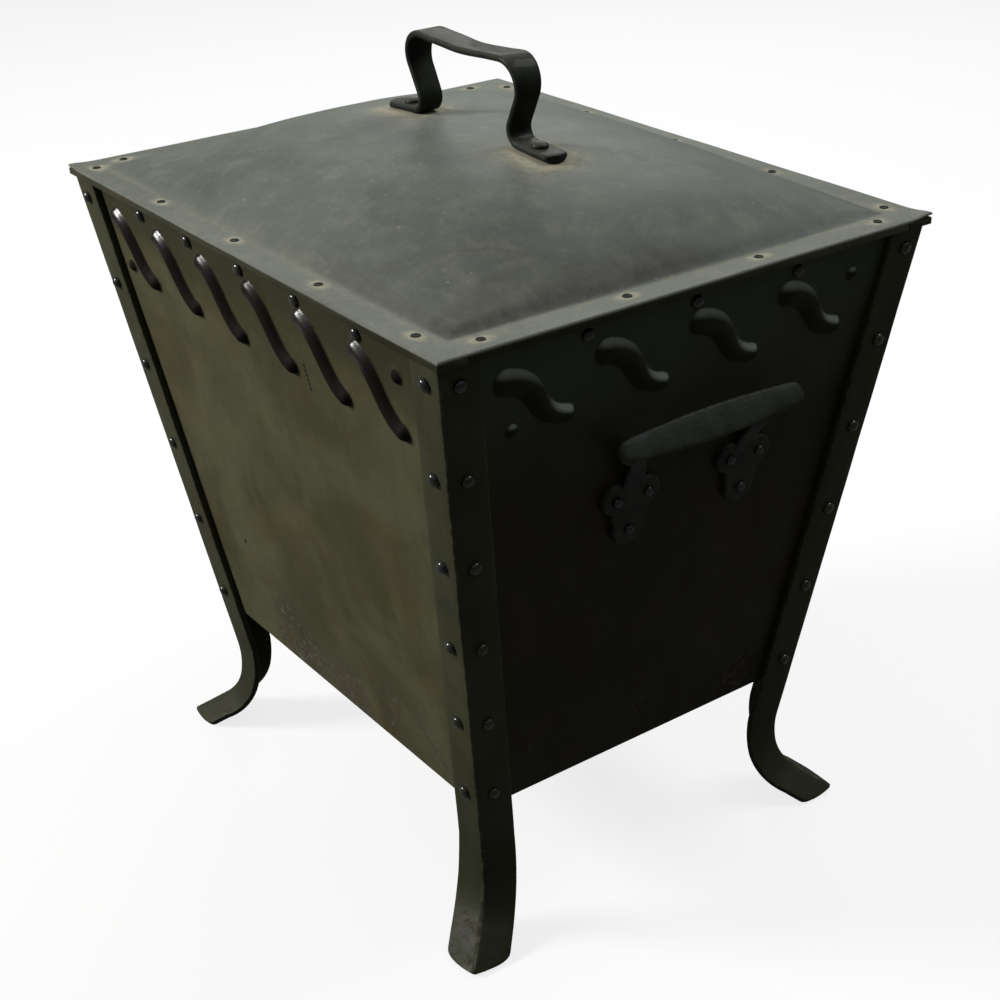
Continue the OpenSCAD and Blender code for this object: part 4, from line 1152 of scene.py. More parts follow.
# Steps between two stations of the strap, and its section: flat below, crowned above
STRAP_STEPS = 6
STRAP_SECTION = (
    (-1, -0.2), (-0.93, -0.75), (-0.75, -1), (0, -1.0), (0.75, -1), (0.93, -0.75), (1, -0.2),
    (0.97, 0.35), (0.8, 0.8), (0.45, 1.05), (0, 1.15), (-0.45, 1.05), (-0.8, 0.8), (-0.97, 0.35))


def plate_places(face):
    """Frames in the middle of the two rivet plates of a side handle, on the sheet."""
    box, posts = bpy.context.scene.coal_box, bpy.context.scene.coal_box_posts
    sizes = bpy.context.scene.coal_box_side_handles
    wall = Wall(face)
    y = wall.up(box.box_h - sizes.plate_drop)
    return [wall.at(sizes.shift + x, y, -posts.angle_t) for x in row(2, sizes.plate_pitch)]


def catmull(values, k, t):
    """Point on the smooth curve through a list of values."""
    a, b = values[max(0, k - 1)], values[k]
    c, d = values[min(len(values) - 1, k + 1)], values[min(len(values) - 1, k + 2)]
    return b + 0.5 * t * ((c - a) + t * (2 * a - 5 * b + 4 * c - d + t * (3 * (b - c) + d - a)))


def strap_stations(sizes):
    """Stations of a side handle's strap from plate to plate: place, direction of its width, width."""
    root = sizes.plate_pitch / 2
    plate = sizes.plate_t / 2
    mm = 0.001

    def at(ahead, rise, out):
        """Place by shares of the way to the shoulder, of the grip's rise and of its reach."""
        return (root + ahead * (sizes.grip_half - root), rise * sizes.grip_up,
                plate + out * (sizes.grip_out - plate))

    level = (1, 0, 0)
    turned = (0, -0.69, 0.72)
    half = [
        ((root, 4 * mm, plate), level, sizes.leg_w),
        ((root, 13 * mm, plate + 0.3 * mm), level, sizes.leg_w),
        (at(0, 0.4, 0.12), level, sizes.leg_w),
        (at(0.08, 0.55, 0.28), level, sizes.leg_w - mm),
        (at(0.2, 0.69, 0.44), (0.9, -0.35, 0.2), sizes.leg_w - 1.5 * mm),
        (at(0.43, 0.81, 0.58), (0.62, -0.6, 0.5), 0.92 * sizes.tip_w),
        (at(0.73, 0.887, 0.675), (0.25, -0.7, 0.66), 0.82 * sizes.tip_w),
        (at(0.93, 0.93, 0.76), turned, 0.76 * sizes.tip_w),
        (at(1, 0.971, 0.88), turned, 0.72 * sizes.tip_w),
        (at(0.92, 1.005, 0.985), turned, 0.92 * sizes.tip_w),
        (at(0.66, 1.01, 1.01), turned, 1.15 * sizes.tip_w),
        ((0.6 * sizes.grip_half, 1.005 * sizes.grip_up, sizes.grip_out), turned, 0.85 * sizes.grip_w),
        ((0.3 * sizes.grip_half, sizes.grip_up, sizes.grip_out), turned, sizes.grip_w - 0.5 * mm),
        ((0, sizes.grip_up, sizes.grip_out), turned, sizes.grip_w)]
    return half + [((-p[0], p[1], p[2]), (-w[0], w[1], w[2]), size) for p, w, size in half[-2::-1]]


def side_strap(sizes):
    """The forged strap of a side handle, from one plate over the grip to the other."""
    stations = strap_stations(sizes)
    places = [np.array(station[0], float) for station in stations]
    wides = [np.array(station[1], float) for station in stations]
    widths = [station[2] for station in stations]
    last = len(stations) - 1
    track = [(k, i / STRAP_STEPS) for k in range(last) for i in range(STRAP_STEPS)] + [(last - 1, 1.0)]
    middles = [catmull(places, k, t) for k, t in track]
    rings = []
    for n, (k, t) in enumerate(track):
        ahead = middles[min(len(track) - 1, n + 1)] - middles[max(0, n - 1)]
        run = ahead / np.linalg.norm(ahead)
        wide = catmull(wides, k, t)
        wide = wide - (wide @ run) * run
        wide /= np.linalg.norm(wide)
        out = np.cross(run, wide)
        half_w = catmull(widths, k, t) / 2
        rings.append([
            Vector(middles[n] + wide * a * half_w + out * b * sizes.grip_t / 2)
            for a, b in reversed(STRAP_SECTION)])
    return loft(rings)


def trefoil(sizes, place):
    """Rivet plate with three lobes, as a solid between the sheet and its outer face."""
    outline = []
    for k in range(PLATE_STEPS):
        turn = 2 * math.pi * k / PLATE_STEPS
        ray = np.array([math.cos(turn), math.sin(turn)])
        reach = sizes.middle_r
        for spot in PLATE_SPOTS:
            radius = sizes.tail_r if spot[1] < 0 else sizes.lobe_r
            centre = np.array(spot) * sizes.rivet_pitch
            along = float(centre @ ray)
            off = float(centre @ centre) - along ** 2
            if off < radius ** 2:
                reach = max(reach, along + math.sqrt(radius ** 2 - off))
        outline.append((ray, reach))
    levels = ((0.0, 0.0), (0.0, 0.75 * sizes.plate_t), (PLATE_EASE, sizes.plate_t))
    return loft([
        [place @ Vector((*(ray * (reach - inset)), z)) for ray, reach in outline] for inset, z in levels])


def fuse(obj, voxel, smooth):
    """Crossing solids become one smooth skin."""
    remesh = obj.modifiers.new("fuse", "REMESH")
    remesh.mode = "VOXEL"
    remesh.voxel_size = voxel
    remesh.use_smooth_shade = True
    relax = obj.modifiers.new("relax", "SMOOTH")
    relax.factor = 0.5
    relax.iterations = smooth
    graph = bpy.context.evaluated_depsgraph_get()
    made = bpy.data.meshes.new_from_object(obj.evaluated_get(graph))
    obj.modifiers.clear()
    obj.data = made


# Operators of the box

class CoalBoxOperator:
    """What all the operators share."""
    bl_options = {"REGISTER", "UNDO"}


class COALBOX_OT_panels(CoalBoxOperator, bpy.types.Operator):
    """Make the four pressed sheet panels"""
    bl_idname = "coalbox.panels"
    bl_label = "Panels"

    def execute(self, context):
        for face, name in enumerate(FACE_NAMES):
            skin, values = panel_mesh(face)
            finish = shared(side_paint if is_side(face) else front_paint)
            piece(f"{name}_sheet", skin, finish, "box", f"{name}_panel", values, sharp=35)
        return {"FINISHED"}


class COALBOX_OT_posts(CoalBoxOperator, bpy.types.Operator):
    """Make the four angle-iron posts with their legs and splayed feet"""
    bl_idname = "coalbox.posts"
    bl_label = "Posts and legs"

    def execute(self, context):
        for number, (name, side, front) in enumerate(CORNERS):
            points, faces, edge = post_mesh(seed=4.0 + number)
            points = [Vector((side * p.x, front * p.y, p.z)) for p in points]
            if side * front < 0:
                faces = [face[::-1] for face in faces]
            piece(f"corner_post_{name}", (points, faces), shared(post_paint), "box",
                  f"post_{name}", {"edge": edge}, sharp=50)
        return {"FINISHED"}


class COALBOX_OT_rivets(CoalBoxOperator, bpy.types.Operator):
    """Make the dome rivets of the posts, the rim and the side handles"""
    bl_idname = "coalbox.rivets"
    bl_label = "Rivets"

    def execute(self, context):
        columns = {
            "front_right": ((FRONT, 1), (RIGHT, -1)), "front_left": ((FRONT, -1), (LEFT, 1)),
            "back_right": ((BACK, -1), (RIGHT, 1)), "back_left": ((BACK, 1), (LEFT, -1))}
        for seed, (name, pair) in enumerate(columns.items()):
            spots = [spot for face, sign in pair for spot in post_rivet_spots(face, sign)]
            rivet_group(f"post_rivet_heads_{name}", f"post_rivets_{name}", "box", spots, seed)
        for face, name in enumerate(FACE_NAMES):
            spots = rim_rivet_spots(face)
            rivet_group(f"rim_rivet_heads_{name}", f"rim_rivets_{name}", "box", spots, 10 + face)
        sizes = context.scene.coal_box_side_handles
        pitch = sizes.rivet_pitch
        grip = sizes.plate_t + context.scene.coal_box.sheet_t
        for face in (RIGHT, LEFT):
            name = FACE_NAMES[face]
            spots = [
                (plate @ Matrix.Translation((across * pitch, up * pitch, sizes.plate_t)),
                 grip, sizes.head_d, False)
                for plate in plate_places(face) for across, up in PLATE_SPOTS]
            rivet_group(f"handle_rivet_heads_{name}", f"side_handle_rivets_{name}", "box", spots, 20 + face)
        return {"FINISHED"}


class COALBOX_OT_side_handles(CoalBoxOperator, bpy.types.Operator):
    """Forge the side handles: strap and rivet plates in one smooth skin"""
    bl_idname = "coalbox.side_handles"
    bl_label = "Side handles"

    def execute(self, context):
        sizes = context.scene.coal_box_side_handles
        strap_points, strap_faces = side_strap(sizes)
        for face in (RIGHT, LEFT):
            name = FACE_NAMES[face]
            left, right = plate_places(face)
            middle = left @ Matrix.Translation((sizes.plate_pitch / 2, 0, 0))
            strap = [middle @ p for p in strap_points], strap_faces
            skin = joined([strap, trefoil(sizes, left), trefoil(sizes, right)])
            handle = piece(f"side_handle_forging_{name}", skin, shared(forged_black), "box",
                           f"side_handle_{name}", sharp=180)
            fuse(handle, voxel=0.00055, smooth=5)
        return {"FINISHED"}


# Lid

# How steeply the dome falls off across and in depth
DOME_POWER_X = 3
DOME_POWER_Y = 2.4
# Mesh of the lid: spacing of the rows on the border and on the dome, number of rows over the step, and how
# far those reach inward and outward of the border's inner edge
BORDER_ROW = 0.0012
DOME_ROW = 0.0028
STEP_ROWS = 14
STEP_BEFORE = 0.006
STEP_AFTER = 0.0015
# How far the sheet's outermost edge turns down, and over what width
EDGE_DROP = 0.0007
EDGE_WIDTH = 0.0009
# Corner tips that are curled up: their side across and in depth, and how far; and the size of a tip
CURLED_CORNERS = ((-1, -1, 0.0011), (1, 1, 0.0017))
CURL_SIZE = 0.011
# Dark water mark near the dome's front right corner, and the inner edge of the grime, in metres on the lid
STAIN_ARC = (
    (0.126, -0.116), (0.128, -0.108), (0.133, -0.100), (0.140, -0.092), (0.146, -0.083), (0.153, -0.079),
    (0.160, -0.075))
STAIN_BOUND = (
    (0.162, -0.150), (0.150, -0.128), (0.142, -0.106), (0.147, -0.071), (0.152, -0.048), (0.160, -0.013),
    (0.171, 0.020), (0.188, 0.050))
# Easing of the bars' long edges and of their ends
BAR_EDGE_R = 0.0005
BAR_END_EASE = 0.0004
# Radius of a border rivet's shank, which shows as a ring round the dimple in its head
BORDER_SHANK_R = 0.0018


def lid_low():
    """Height of the lid sheet's underside at its border."""
    box, lid = bpy.context.scene.coal_box, bpy.context.scene.coal_box_lid
    return box.leg_h + box.box_h + lid.bar_t


def lid_top():
    """Height of the lid sheet's top face at its border."""
    return lid_low() + bpy.context.scene.coal_box.sheet_t


def dome_height(x, y):
    """Height of the lid's top face above its border, for arrays of places."""
    lid = bpy.context.scene.coal_box_lid
    half_x, half_y = lid.lid_w / 2 - lid.border, lid.lid_d / 2 - lid.border
    gap = np.minimum(half_x - np.abs(x), half_y - np.abs(y))
    share = np.clip(gap / lid.step_w, 0, 1)
    step = lid.step * share ** 2 * (3 - 2 * share)
    across = 1 - np.clip(np.abs(x) / half_x, 0, 1) ** DOME_POWER_X
    away = 1 - np.clip(np.abs(y) / half_y, 0, 1) ** DOME_POWER_Y
    return np.where(gap > 0, step + (lid.dome_h - lid.step) * across * away, 0.0)


def border_rivet_spots():
    """Places of the rivets through the lid's border."""
    lid = bpy.context.scene.coal_box_lid
    x, y = lid.lid_w / 2 - lid.rivet_inset, lid.lid_d / 2 - lid.rivet_inset
    longs, shorts = row(lid.long_count, lid.long_pitch), row(lid.short_count, lid.short_pitch)
    return ([(a - lid.long_shift, -y) for a in longs] + [(a, y) for a in longs]
            + [(x, a) for a in shorts] + [(-x, a) for a in shorts])


def edge_stops(half, border):
    """Places across the lid: close together at the edge, the border and the step."""
    before, after = half - border - STEP_BEFORE, half - border + STEP_AFTER
    last = half - 0.0012
    right = list(np.linspace(0, before, int(before / DOME_ROW)))
    right += list(np.linspace(before, after, STEP_ROWS)[1:])
    right += list(np.linspace(after, last, int((last - after) / BORDER_ROW))[1:])
    right += [half - 0.0007, half - 0.0003, half - 0.0001, half]
    return np.array([-v for v in right[:0:-1]] + right)


def lid_sheet_mesh():
    """The domed lid sheet, and its dust, stains, painted shade and rubbed edge."""
    scene = bpy.context.scene
    box, lid, handle = scene.coal_box, scene.coal_box_lid, scene.coal_box_lid_handle
    half_x, half_y = lid.lid_w / 2, lid.lid_d / 2
    xs, ys = edge_stops(half_x, lid.border), edge_stops(half_y, lid.border)
    x, y = (a.ravel() for a in np.meshgrid(xs, ys))
    rim_gap = np.minimum(half_x - np.abs(x), half_y - np.abs(y))
    turned_down = EDGE_DROP * np.clip(1 - rim_gap / EDGE_WIDTH, 0, 1) ** 2
    inner_gap = np.clip((rim_gap - lid.border) / 0.03, 0, 1)
    foot_gap = np.hypot((np.abs(x - handle.shift) - handle.rivet_x) / 1.5, y)
    calm_foot = np.clip(foot_gap / 0.03 - 0.6, 0, 1)
    dents = swings(x, y, 11, 11, 5.2) + 0.45 * swings(x, y, 31, 31, 1.7)
    top = lid_top() + dome_height(x, y) - turned_down
    top += lid.dent * dents * inner_gap * calm_foot
    top += 0.00025 * swings(x, y, 17, 17, 9.4) * (1 - inner_gap)
    for side_x, side_y, lift in CURLED_CORNERS:
        corner_gap = np.hypot(x - side_x * half_x, y - side_y * half_y)
        top += lift * np.exp(-(corner_gap / CURL_SIZE) ** 2)
    low = top - box.sheet_t + turned_down
    skin = thin_sheet(
        [Vector(p) for p in zip(x, y, top)], [Vector(p) for p in zip(x, y, low)], len(ys), len(xs))
    above = {
        "dust": lid_dust(x, y, rim_gap), "stain": lid_stains(x, y, rim_gap),
        "edge": np.clip(1 - rim_gap / 0.0012, 0, 1)}
    return skin, {key: np.concatenate([shares, np.zeros(len(low))]) for key, shares in above.items()}


def lid_dust(x, y, rim_gap):
    """Dust lies along the step, in the border and round the handle's feet and the rivets."""
    lid, handle = bpy.context.scene.coal_box_lid, bpy.context.scene.coal_box_lid_handle
    step = 0.16 * np.exp(-((rim_gap - lid.border + 0.003) / 0.004) ** 2)
    border = np.where(rim_gap < lid.border, 0.08, 0.0)
    foot_x = np.abs(np.abs(x - handle.shift) - handle.rivet_x - 0.001)
    foot_gap = np.hypot(np.maximum(foot_x - 0.014, 0), np.maximum(np.abs(y) - handle.upright_w / 2, 0))
    feet = 1.3 * np.exp(-foot_gap / 0.0080)
    rivets = np.zeros_like(x)
    along = np.abs(y) > np.abs(x) * lid.lid_d / lid.lid_w
    for a, b in border_rivet_spots():
        off = np.where(along, np.hypot((x - a) / 1.6, y - b), np.hypot(x - a, (y - b) / 1.6))
        rivets = np.maximum(rivets, np.exp(-(off / 0.0046) ** 2))
    return np.clip(np.maximum.reduce([step, border, feet, rivets]), 0, 1)


def lid_stains(x, y, rim_gap):
    """A dark water mark near the corner of the dome, the brown grime along the right-hand edge, and painted
    shade that darkens the dome towards its near corner.
    """
    along = np.clip((x - 0.120) / 0.012, 0, 1) * np.clip((0.172 - x) / 0.014, 0, 1)
    line = 0.80 * along * np.exp(-(line_gap(x, y, STAIN_ARC) / 0.0024) ** 2)
    bound = np.array(STAIN_BOUND)
    inner = np.interp(y, bound[:, 1], bound[:, 0])
    reach = np.clip((x - inner) / 0.022, 0, 1) * np.clip((0.060 - y) / 0.05, 0, 1)
    step_gap = rim_gap - bpy.context.scene.coal_box_lid.border
    on_dome = np.clip(step_gap / 0.002, 0, 1)
    near_step = np.exp(-np.abs(step_gap - 0.006) / 0.012)
    # Painted shade: the dome darkens towards its near corner.
    shade = 0.44 * on_dome * np.clip((x - y - 0.080) / 0.16, 0, 1)
    return np.maximum.reduce([line, shade, on_dome * reach * (0.62 + 0.33 * near_step)])


def line_gap(x, y, stops):
    """Distance of places from a chain of straight lines."""
    gap = np.full_like(x, np.inf)
    for (ax, ay), (bx, by) in zip(stops, stops[1:]):
        run_x, run_y = bx - ax, by - ay
        t = np.clip(((x - ax) * run_x + (y - ay) * run_y) / (run_x ** 2 + run_y ** 2), 0, 1)
        gap = np.minimum(gap, np.hypot(x - ax - t * run_x, y - ay - t * run_y))
    return gap


def eased_bar(half, y_span, z_span, place):
    """Flat bar along x with eased edges and ends."""
    (y0, y1), (z0, z1) = y_span, z_span
    outline = rounded([(y0, z0), (y1, z0), (y1, z1), (y0, z1)], [BAR_EDGE_R] * 4)
    middle = np.array([(y0 + y1) / 2, (z0 + z1) / 2])
    eased = [q + (middle - q) / np.linalg.norm(middle - q) * BAR_END_EASE for q in outline]
    stations = (
        (-half, eased), (BAR_END_EASE - half, outline), (half - BAR_END_EASE, outline), (half, eased))
    return loft([[place @ Vector((x, *q)) for q in reversed(ring)] for x, ring in stations])


def bar_mesh(face):
    """Angle bar under the lid's border, with eased edges."""
    box, lid = bpy.context.scene.coal_box, bpy.context.scene.coal_box_lid
    inner_w = lid.lid_w - 2 * lid.bar_w
    between_bars = lid.lid_d - 2 * lid.bar_w - 2 * box.edge_gap
    bar_long, lip_long = (between_bars, between_bars) if is_side(face) else (lid.lid_w, inner_w)
    edge = (lid.lid_w if is_side(face) else lid.lid_d) / 2
    place = quarter_turns(face) @ Matrix.Translation((0, -edge, box.leg_h + box.box_h))
    return joined([
        eased_bar(bar_long / 2, (0, lid.bar_w), (0, lid.bar_t), place),
        eased_bar(lip_long / 2, (lid.bar_w - lid.lip_t, lid.bar_w), (-lid.lip_h, BAR_EDGE_R), place)])


def foot_seat():
    """Height of the dome's top face at a foot rivet of the handle, and the tilt of the dome there."""
    lid, handle = bpy.context.scene.coal_box_lid, bpy.context.scene.coal_box_lid_handle
    dome = float(dome_height(np.array([handle.rivet_x]), np.array([0.0]))[0])
    dome_x = lid.lid_w / 2 - lid.border
    share = handle.rivet_x / dome_x
    slope = DOME_POWER_X * (lid.dome_h - lid.step) / dome_x * share ** (DOME_POWER_X - 1)
    return lid_top() + dome, math.atan(slope)


def left_of(heading):
    """Direction square to a heading, on its left."""
    return np.array([-math.sin(heading), math.cos(heading)])


def arc(start, radius, turn, steps):
    """Stops along a bend: a place and a heading each."""
    place, heading = start
    turns = [turn * i / steps for i in range(1, steps + 1)]
    side = math.copysign(radius, turn)
    return [(place + side * (left_of(heading) - left_of(heading + t)), heading + t) for t in turns]


def straight(start, run, steps):
    """Stops along a straight run: a place and a heading each."""
    place, heading = start
    ahead = np.array([math.cos(heading), math.sin(heading)])
    return [(place + run * i / steps * ahead, heading) for i in range(1, steps + 1)]


def strap_stops(handle):
    """Middle line of the lid handle in its own plane: ((across, up), heading), from foot to foot."""
    seat, tilt = foot_seat()
    lean, dip, shoulder_r = handle.lean, handle.dip, handle.shoulder_r
    foot_z = seat + handle.seat_gap + handle.strap_t / 2 / math.cos(tilt)
    shoulder_z = lid_top() + handle.grip_top - handle.strap_t / 2 - shoulder_r
    end_x = handle.shoulder_x + shoulder_r * math.cos(lean)
    end_z = shoulder_z - shoulder_r * math.sin(lean)
    neck_down = handle.neck_r * (math.sin(lean) + math.cos(tilt))
    neck_across = handle.neck_r * (math.cos(lean) - math.sin(tilt))
    fall = end_z - neck_down - foot_z - (handle.rivet_x - end_x - neck_across) * math.tan(tilt)
    upright = fall / (math.cos(lean) + math.sin(lean) * math.tan(tilt))
    flat = (handle.shoulder_x - (shoulder_r + handle.dip_r) * math.sin(dip)) / math.cos(dip)
    middle_z = (shoulder_z + shoulder_r * math.cos(dip) - flat * math.sin(dip)
                - handle.dip_r * (1 - math.cos(dip)))
    stops = [(np.array([0.0, middle_z]), 0.0)]
    stops += arc(stops[-1], handle.dip_r, dip, 4)
    stops += straight(stops[-1], flat, 6)
    stops += arc(stops[-1], shoulder_r, -dip - math.pi / 2 - lean, 16)
    stops += straight(stops[-1], upright, 10)
    stops += arc(stops[-1], handle.neck_r, math.pi / 2 + lean - tilt, 10)
    stops += straight(stops[-1], handle.foot_tab, 24)
    return [(np.array([-p[0], p[1]]), -heading) for p, heading in stops[:0:-1]] + stops


# Easing of the lid handle's edges, the fall of its faces towards them, and its unevenness
STRAP_EDGE_R = 0.0019
STRAP_CROWN = 0.0003
STRAP_SWELL = 0.022
STRAP_UNEVEN = 0.0004


def lid_handle_mesh():
    """The bent strap with eased edges, a wide grip and rounded feet, and how far each point is an edge."""
    handle = bpy.context.scene.coal_box_lid_handle
    stops = strap_stops(handle)
    top = lid_top() + handle.grip_top
    narrow, wide = top - 1.6 * handle.shoulder_r, top - 0.001
    run = [0.0]
    for (a, _), (b, _) in zip(stops, stops[1:]):
        run.append(run[-1] + float(np.linalg.norm(b - a)))
    tip_r = 0.56 * handle.upright_w
    thick = handle.strap_t / 2
    rings, edges = [], []
    for (place, heading), s in zip(stops, run):
        share = min(1, max(0, (place[1] - narrow) / (wide - narrow)))
        half = (handle.upright_w + (handle.grip_w - handle.upright_w) * share) / 2
        from_end = min(s, run[-1] - s)
        if from_end < tip_r:
            half = min(half, math.sqrt(max(0.0, tip_r ** 2 - (tip_r - from_end) ** 2)) + 0.0009)
        outline = rounded(
            [(-half, -thick), (half, -thick), (half, thick), (-half, thick)],
            [min(STRAP_EDGE_R, 0.6 * half)] * 4)
        ring = []
        for across, out in outline:
            crown = -STRAP_CROWN * (across / half) ** 2 * math.copysign(1, out)
            spot = place + left_of(heading) * (out + crown)
            ring.append(Vector((spot[0] + handle.shift, across, spot[1])))
        rings.append(ring)
        edges += [1.0 if k % 4 in (1, 2) else 0.3 for k in range(len(outline))]
    points, faces = loft(rings)
    return (wobble(points, STRAP_SWELL, STRAP_UNEVEN, 2.5), faces), edges


def flush_rivets():
    """Rivets through the lid's border and bars, with flat heads."""
    radius = 0.9 * bpy.context.scene.coal_box_lid.rivet_r
    base = lid_low() - bpy.context.scene.coal_box_lid.bar_t
    top = lid_top() - base
    shank = BORDER_SHANK_R
    profile = [
        (0, top + 0.0002), (0.0014, top + 0.0002), (shank, top + 0.0005), (0.94 * radius, top + 0.0004),
        (radius, top + 0.0001), (radius, top - 0.0003), (shank, top - 0.0015), (shank, 0.0), (0, 0.0)]
    return joined([revolve(profile, Matrix.Translation((x, y, base))) for x, y in border_rivet_spots()])


class COALBOX_OT_lid_sheet(CoalBoxOperator, bpy.types.Operator):
    """Beat the domed lid sheet, with its dust, stains and painted shade"""
    bl_idname = "coalbox.lid_sheet"
    bl_label = "Lid sheet"

    def execute(self, context):
        skin, values = lid_sheet_mesh()
        piece("domed_lid_sheet", skin, shared(dusty_lid), "lid", "lid_sheet", values, sharp=50)
        return {"FINISHED"}


class COALBOX_OT_lid_bars(CoalBoxOperator, bpy.types.Operator):
    """Make the bars under the lid's border and the flush rivets through it"""
    bl_idname = "coalbox.lid_bars"
    bl_label = "Lid bars and rivets"

    def execute(self, context):
        for face, name in enumerate(FACE_NAMES):
            piece(f"lid_edge_bar_{name}", bar_mesh(face), shared(lid_bar_paint), "lid",
                  f"lid_bar_{name}", sharp=50)
        piece("lid_border_rivet_heads", flush_rivets(), shared(dull_rivet), "lid",
              "lid_border_rivets", sharp=50)
        return {"FINISHED"}


class COALBOX_OT_lid_handle(CoalBoxOperator, bpy.types.Operator):
    """Bend the strap handle of the lid and set its two rivets"""
    bl_idname = "coalbox.lid_handle"
    bl_label = "Lid handle"

    def execute(self, context):
        handle = context.scene.coal_box_lid_handle
        skin, edge = lid_handle_mesh()
        piece("lid_strap_handle", skin, shared(lid_strap), "lid", "lid_handle",
              {"edge": edge}, sharp=60)
        seat, tilt = foot_seat()
        top = seat + handle.seat_gap + handle.strap_t / math.cos(tilt)
        grip = handle.strap_t + context.scene.coal_box.sheet_t + 2 * handle.seat_gap + handle.tail_gap
        spots = [
            (Matrix.Translation((handle.shift, 0, top)) @ Matrix.Rotation(side, 4, "Z")
             @ Matrix.Translation((handle.rivet_x, 0, 0)) @ Matrix.Rotation(tilt, 4, "Y"),
             grip, handle.rivet_d, False)
            for side in (0, math.pi)]
        rivet_group("lid_handle_rivet_heads", "lid_handle_rivets", "lid", spots, 31, lid_rivet)
        return {"FINISHED"}


class COALBOX_OT_inside(CoalBoxOperator, bpy.types.Operator):
    """Give the floor plate and the rim bars their sooty finish"""
    bl_idname = "coalbox.inside"
    bl_label = "Inside finishes"

    def execute(self, context):
        finish = shared(sooty_iron)
        repaint("floor_plate", finish)
        for name in FACE_NAMES:
            repaint(f"rim_bar_{name}", finish)
        return {"FINISHED"}


# Stage

# Each lamp: name, place, what it looks at, its width and height, watts and tint
LAMPS = (
    ("front_window", (-1.35, -1.95, 1.55), (0, 0, 0.25), (0.8, 0.6), 86, (1.0, 0.99, 0.95)),
    ("back_window", (-1.9, 1.6, 1.5), (0, 0, 0.4), (1.2, 0.9), 15, (0.97, 1.0, 0.98)),
    ("high_window", (0.32, 1.4, 2.3), (0, 0, 0.3), (1.2, 1.0), 31, (0.95, 1.0, 0.99)))
# Upward part of a direction at which the light from the horizon starts to change
HORIZON = 0.15


def soft_light(name, place, target, size, power, tint):
    """A large soft lamp that looks at a point."""
    lamp = bpy.data.lights.new(name, "AREA")
    lamp.shape = "RECTANGLE"
    lamp.size, lamp.size_y = size
    lamp.energy = power
    lamp.color = tint
    obj = bpy.data.objects.new(name, lamp)
    obj.location = place
    obj.rotation_euler = (Vector(target) - Vector(place)).to_track_quat("-Z", "Y").to_euler()
    bpy.context.scene.collection.objects.link(obj)


def seen_rays(nodes, mirrored):
    """1 for rays from the camera or through glass, and a share of that for reflections."""
    rays = nodes.add("ShaderNodeLightPath").outputs
    reflected = nodes.product(rays["Is Glossy Ray"], mirrored)
    return nodes.largest(reflected, rays["Is Camera Ray"], rays["Is Transmission Ray"])


def floor_finish(stage):
    """Floor that shows nearly white with the box's shadow, and sends little light back up."""
    material = bpy.data.materials.new("pale_floor")
    nodes = Nodes(material)
    seen = seen_rays(nodes, stage.mirrored)
    matte = nodes.add("ShaderNodeBsdfDiffuse")
    nodes.link(nodes.blend(seen, stage.floor, stage.backdrop), matte.inputs["Color"])
    white = nodes.add("ShaderNodeEmission")
    mix = nodes.add("ShaderNodeMixShader")
    nodes.link(nodes.product(seen, stage.whiteness), mix.inputs["Fac"])
    nodes.link(matte.outputs["BSDF"], mix.inputs[1])
    nodes.link(white.outputs["Emission"], mix.inputs[2])
    nodes.link(mix.outputs["Shader"], nodes.add("ShaderNodeOutputMaterial").inputs["Surface"])
    return material


def studio_world(stage):
    """Surroundings: white where seen, and as light a soft sky that fades towards the horizon."""
    world = bpy.data.worlds.new("studio")
    nodes = Nodes(world)
    direction = nodes.add("ShaderNodeTexCoord").outputs["Generated"]
    climb = nodes.between(nodes.part(direction, "Z"), HORIZON, 1)
    sky = nodes.blend(climb, stage.ambient, stage.zenith)
    background = nodes.add("ShaderNodeBackground")
    nodes.link(nodes.blend(seen_rays(nodes, stage.mirrored), sky, (1, 1, 1)), background.inputs["Color"])
    nodes.link(background.outputs["Background"], nodes.add("ShaderNodeOutputWorld").inputs["Surface"])
    bpy.context.scene.world = world


def lay_floor(stage):
    """The wide plain floor."""
    half = stage.floor_size / 2
    mesh = bpy.data.meshes.new("floor")
    corners = [(-half, -half, 0), (half, -half, 0), (half, half, 0), (-half, half, 0)]
    mesh.from_pydata(corners, [], [(0, 1, 2, 3)])
    mesh.materials.append(floor_finish(stage))
    floor = bpy.data.objects.new("floor", mesh)
    bpy.context.scene.collection.objects.link(floor)


def set_camera(stage):
    """The photograph's camera."""
    camera = bpy.data.cameras.new("camera")
    camera.lens = stage.lens
    camera.sensor_width = 36
    camera.shift_x = stage.shift_x
    camera.shift_y = stage.shift_y
    obj = bpy.data.objects.new("camera", camera)
    obj.matrix_world = (
        Matrix.Translation(stage.position) @ Matrix.Rotation(stage.azimuth, 4, "Z")
        @ Matrix.Rotation(math.pi / 2 - stage.elevation, 4, "X") @ Matrix.Rotation(stage.roll, 4, "Z"))
    bpy.context.scene.collection.objects.link(obj)
    bpy.context.scene.camera = obj


class COALBOX_OT_stage(CoalBoxOperator, bpy.types.Operator):
    """Set up the pale floor, the soft studio light and the photograph's camera"""
    bl_idname = "coalbox.stage"
    bl_label = "Stage"

    def execute(self, context):
        stage = context.scene.coal_box_stage
        context.scene.view_settings.view_transform = "Standard"
        lay_floor(stage)
        studio_world(stage)
        for lamp in LAMPS:
            soft_light(*lamp)
        set_camera(stage)
        return {"FINISHED"}


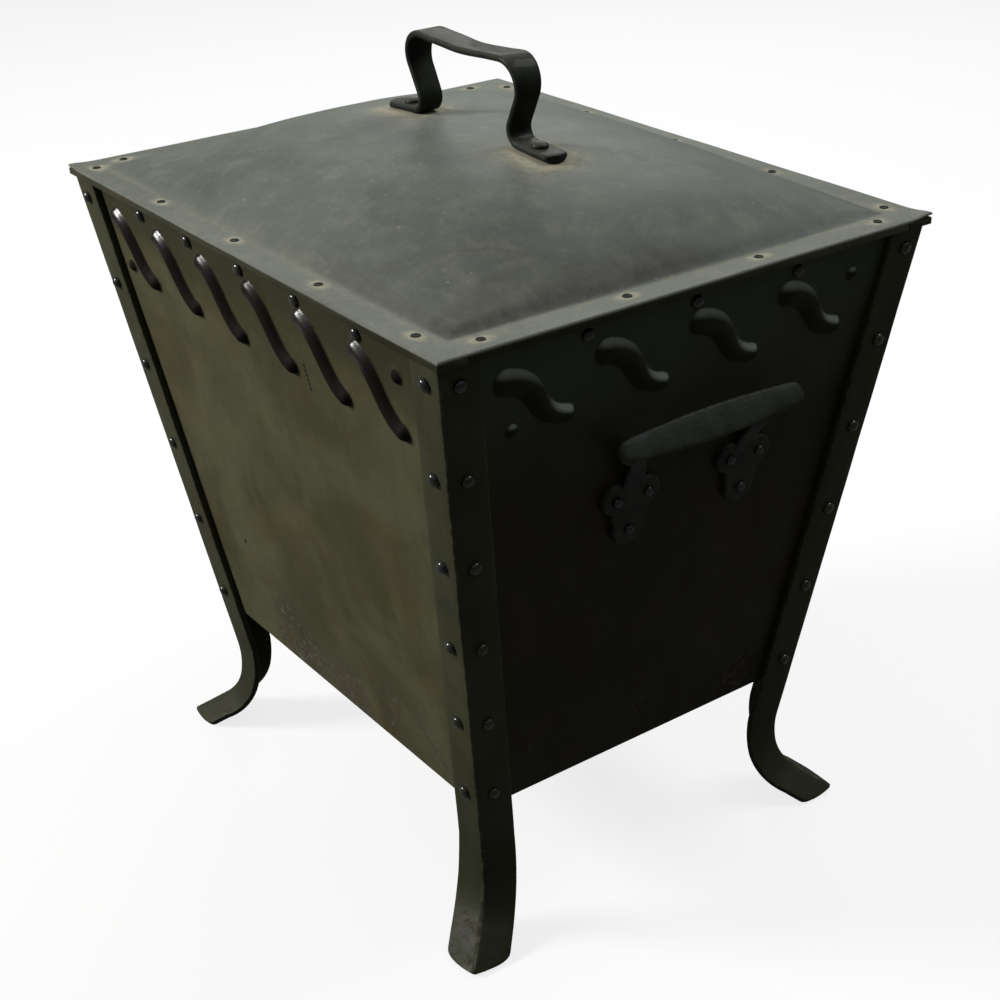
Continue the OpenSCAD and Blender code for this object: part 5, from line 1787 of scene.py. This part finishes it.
class COALBOX_PT_panel(bpy.types.Panel):
    """Buttons for each group of pieces, and the sizes and colours"""
    bl_idname = "COALBOX_PT_panel"
    bl_label = "Coal Box"
    bl_space_type = "VIEW_3D"
    bl_region_type = "UI"
    bl_category = "Coal Box"

    def draw(self, context):
        column = self.layout.column()
        for operator in OPERATORS:
            column.operator(operator.bl_idname)
        for key, group in GROUPS.items():
            column.label(text=group.__doc__)
            values = getattr(context.scene, key)
            for name in group.__annotations__:
                column.prop(values, name)


OPERATORS = (
    COALBOX_OT_stage, COALBOX_OT_panels, COALBOX_OT_posts, COALBOX_OT_rivets, COALBOX_OT_side_handles,
    COALBOX_OT_lid_sheet, COALBOX_OT_lid_bars, COALBOX_OT_lid_handle, COALBOX_OT_inside)
GROUPS = {
    "coal_box": BoxSizes, "coal_box_posts": PostSizes, "coal_box_ribs": RibSizes,
    "coal_box_rivets": RivetSizes, "coal_box_lid": LidSizes, "coal_box_lid_handle": LidHandleSizes,
    "coal_box_side_handles": SideHandleSizes, "coal_box_colours": FinishColours,
    "coal_box_stage": StageSettings}


def register():
    for group in GROUPS.values():
        bpy.utils.register_class(group)
    for key, group in GROUPS.items():
        setattr(bpy.types.Scene, key, bpy.props.PointerProperty(type=group))
    for operator in OPERATORS:
        bpy.utils.register_class(operator)
    bpy.utils.register_class(COALBOX_PT_panel)


def unregister():
    bpy.utils.unregister_class(COALBOX_PT_panel)
    for operator in reversed(OPERATORS):
        bpy.utils.unregister_class(operator)
    for key in GROUPS:
        delattr(bpy.types.Scene, key)
    for group in reversed(GROUPS.values()):
        bpy.utils.unregister_class(group)


def main():
    register()
    bpy.ops.coalbox.stage()
    bpy.ops.coalbox.panels()
    bpy.ops.coalbox.posts()
    bpy.ops.coalbox.rivets()
    bpy.ops.coalbox.side_handles()
    bpy.ops.coalbox.lid_sheet()
    bpy.ops.coalbox.lid_bars()
    bpy.ops.coalbox.lid_handle()
    bpy.ops.coalbox.inside()


if __name__ == "__main__":
    main()
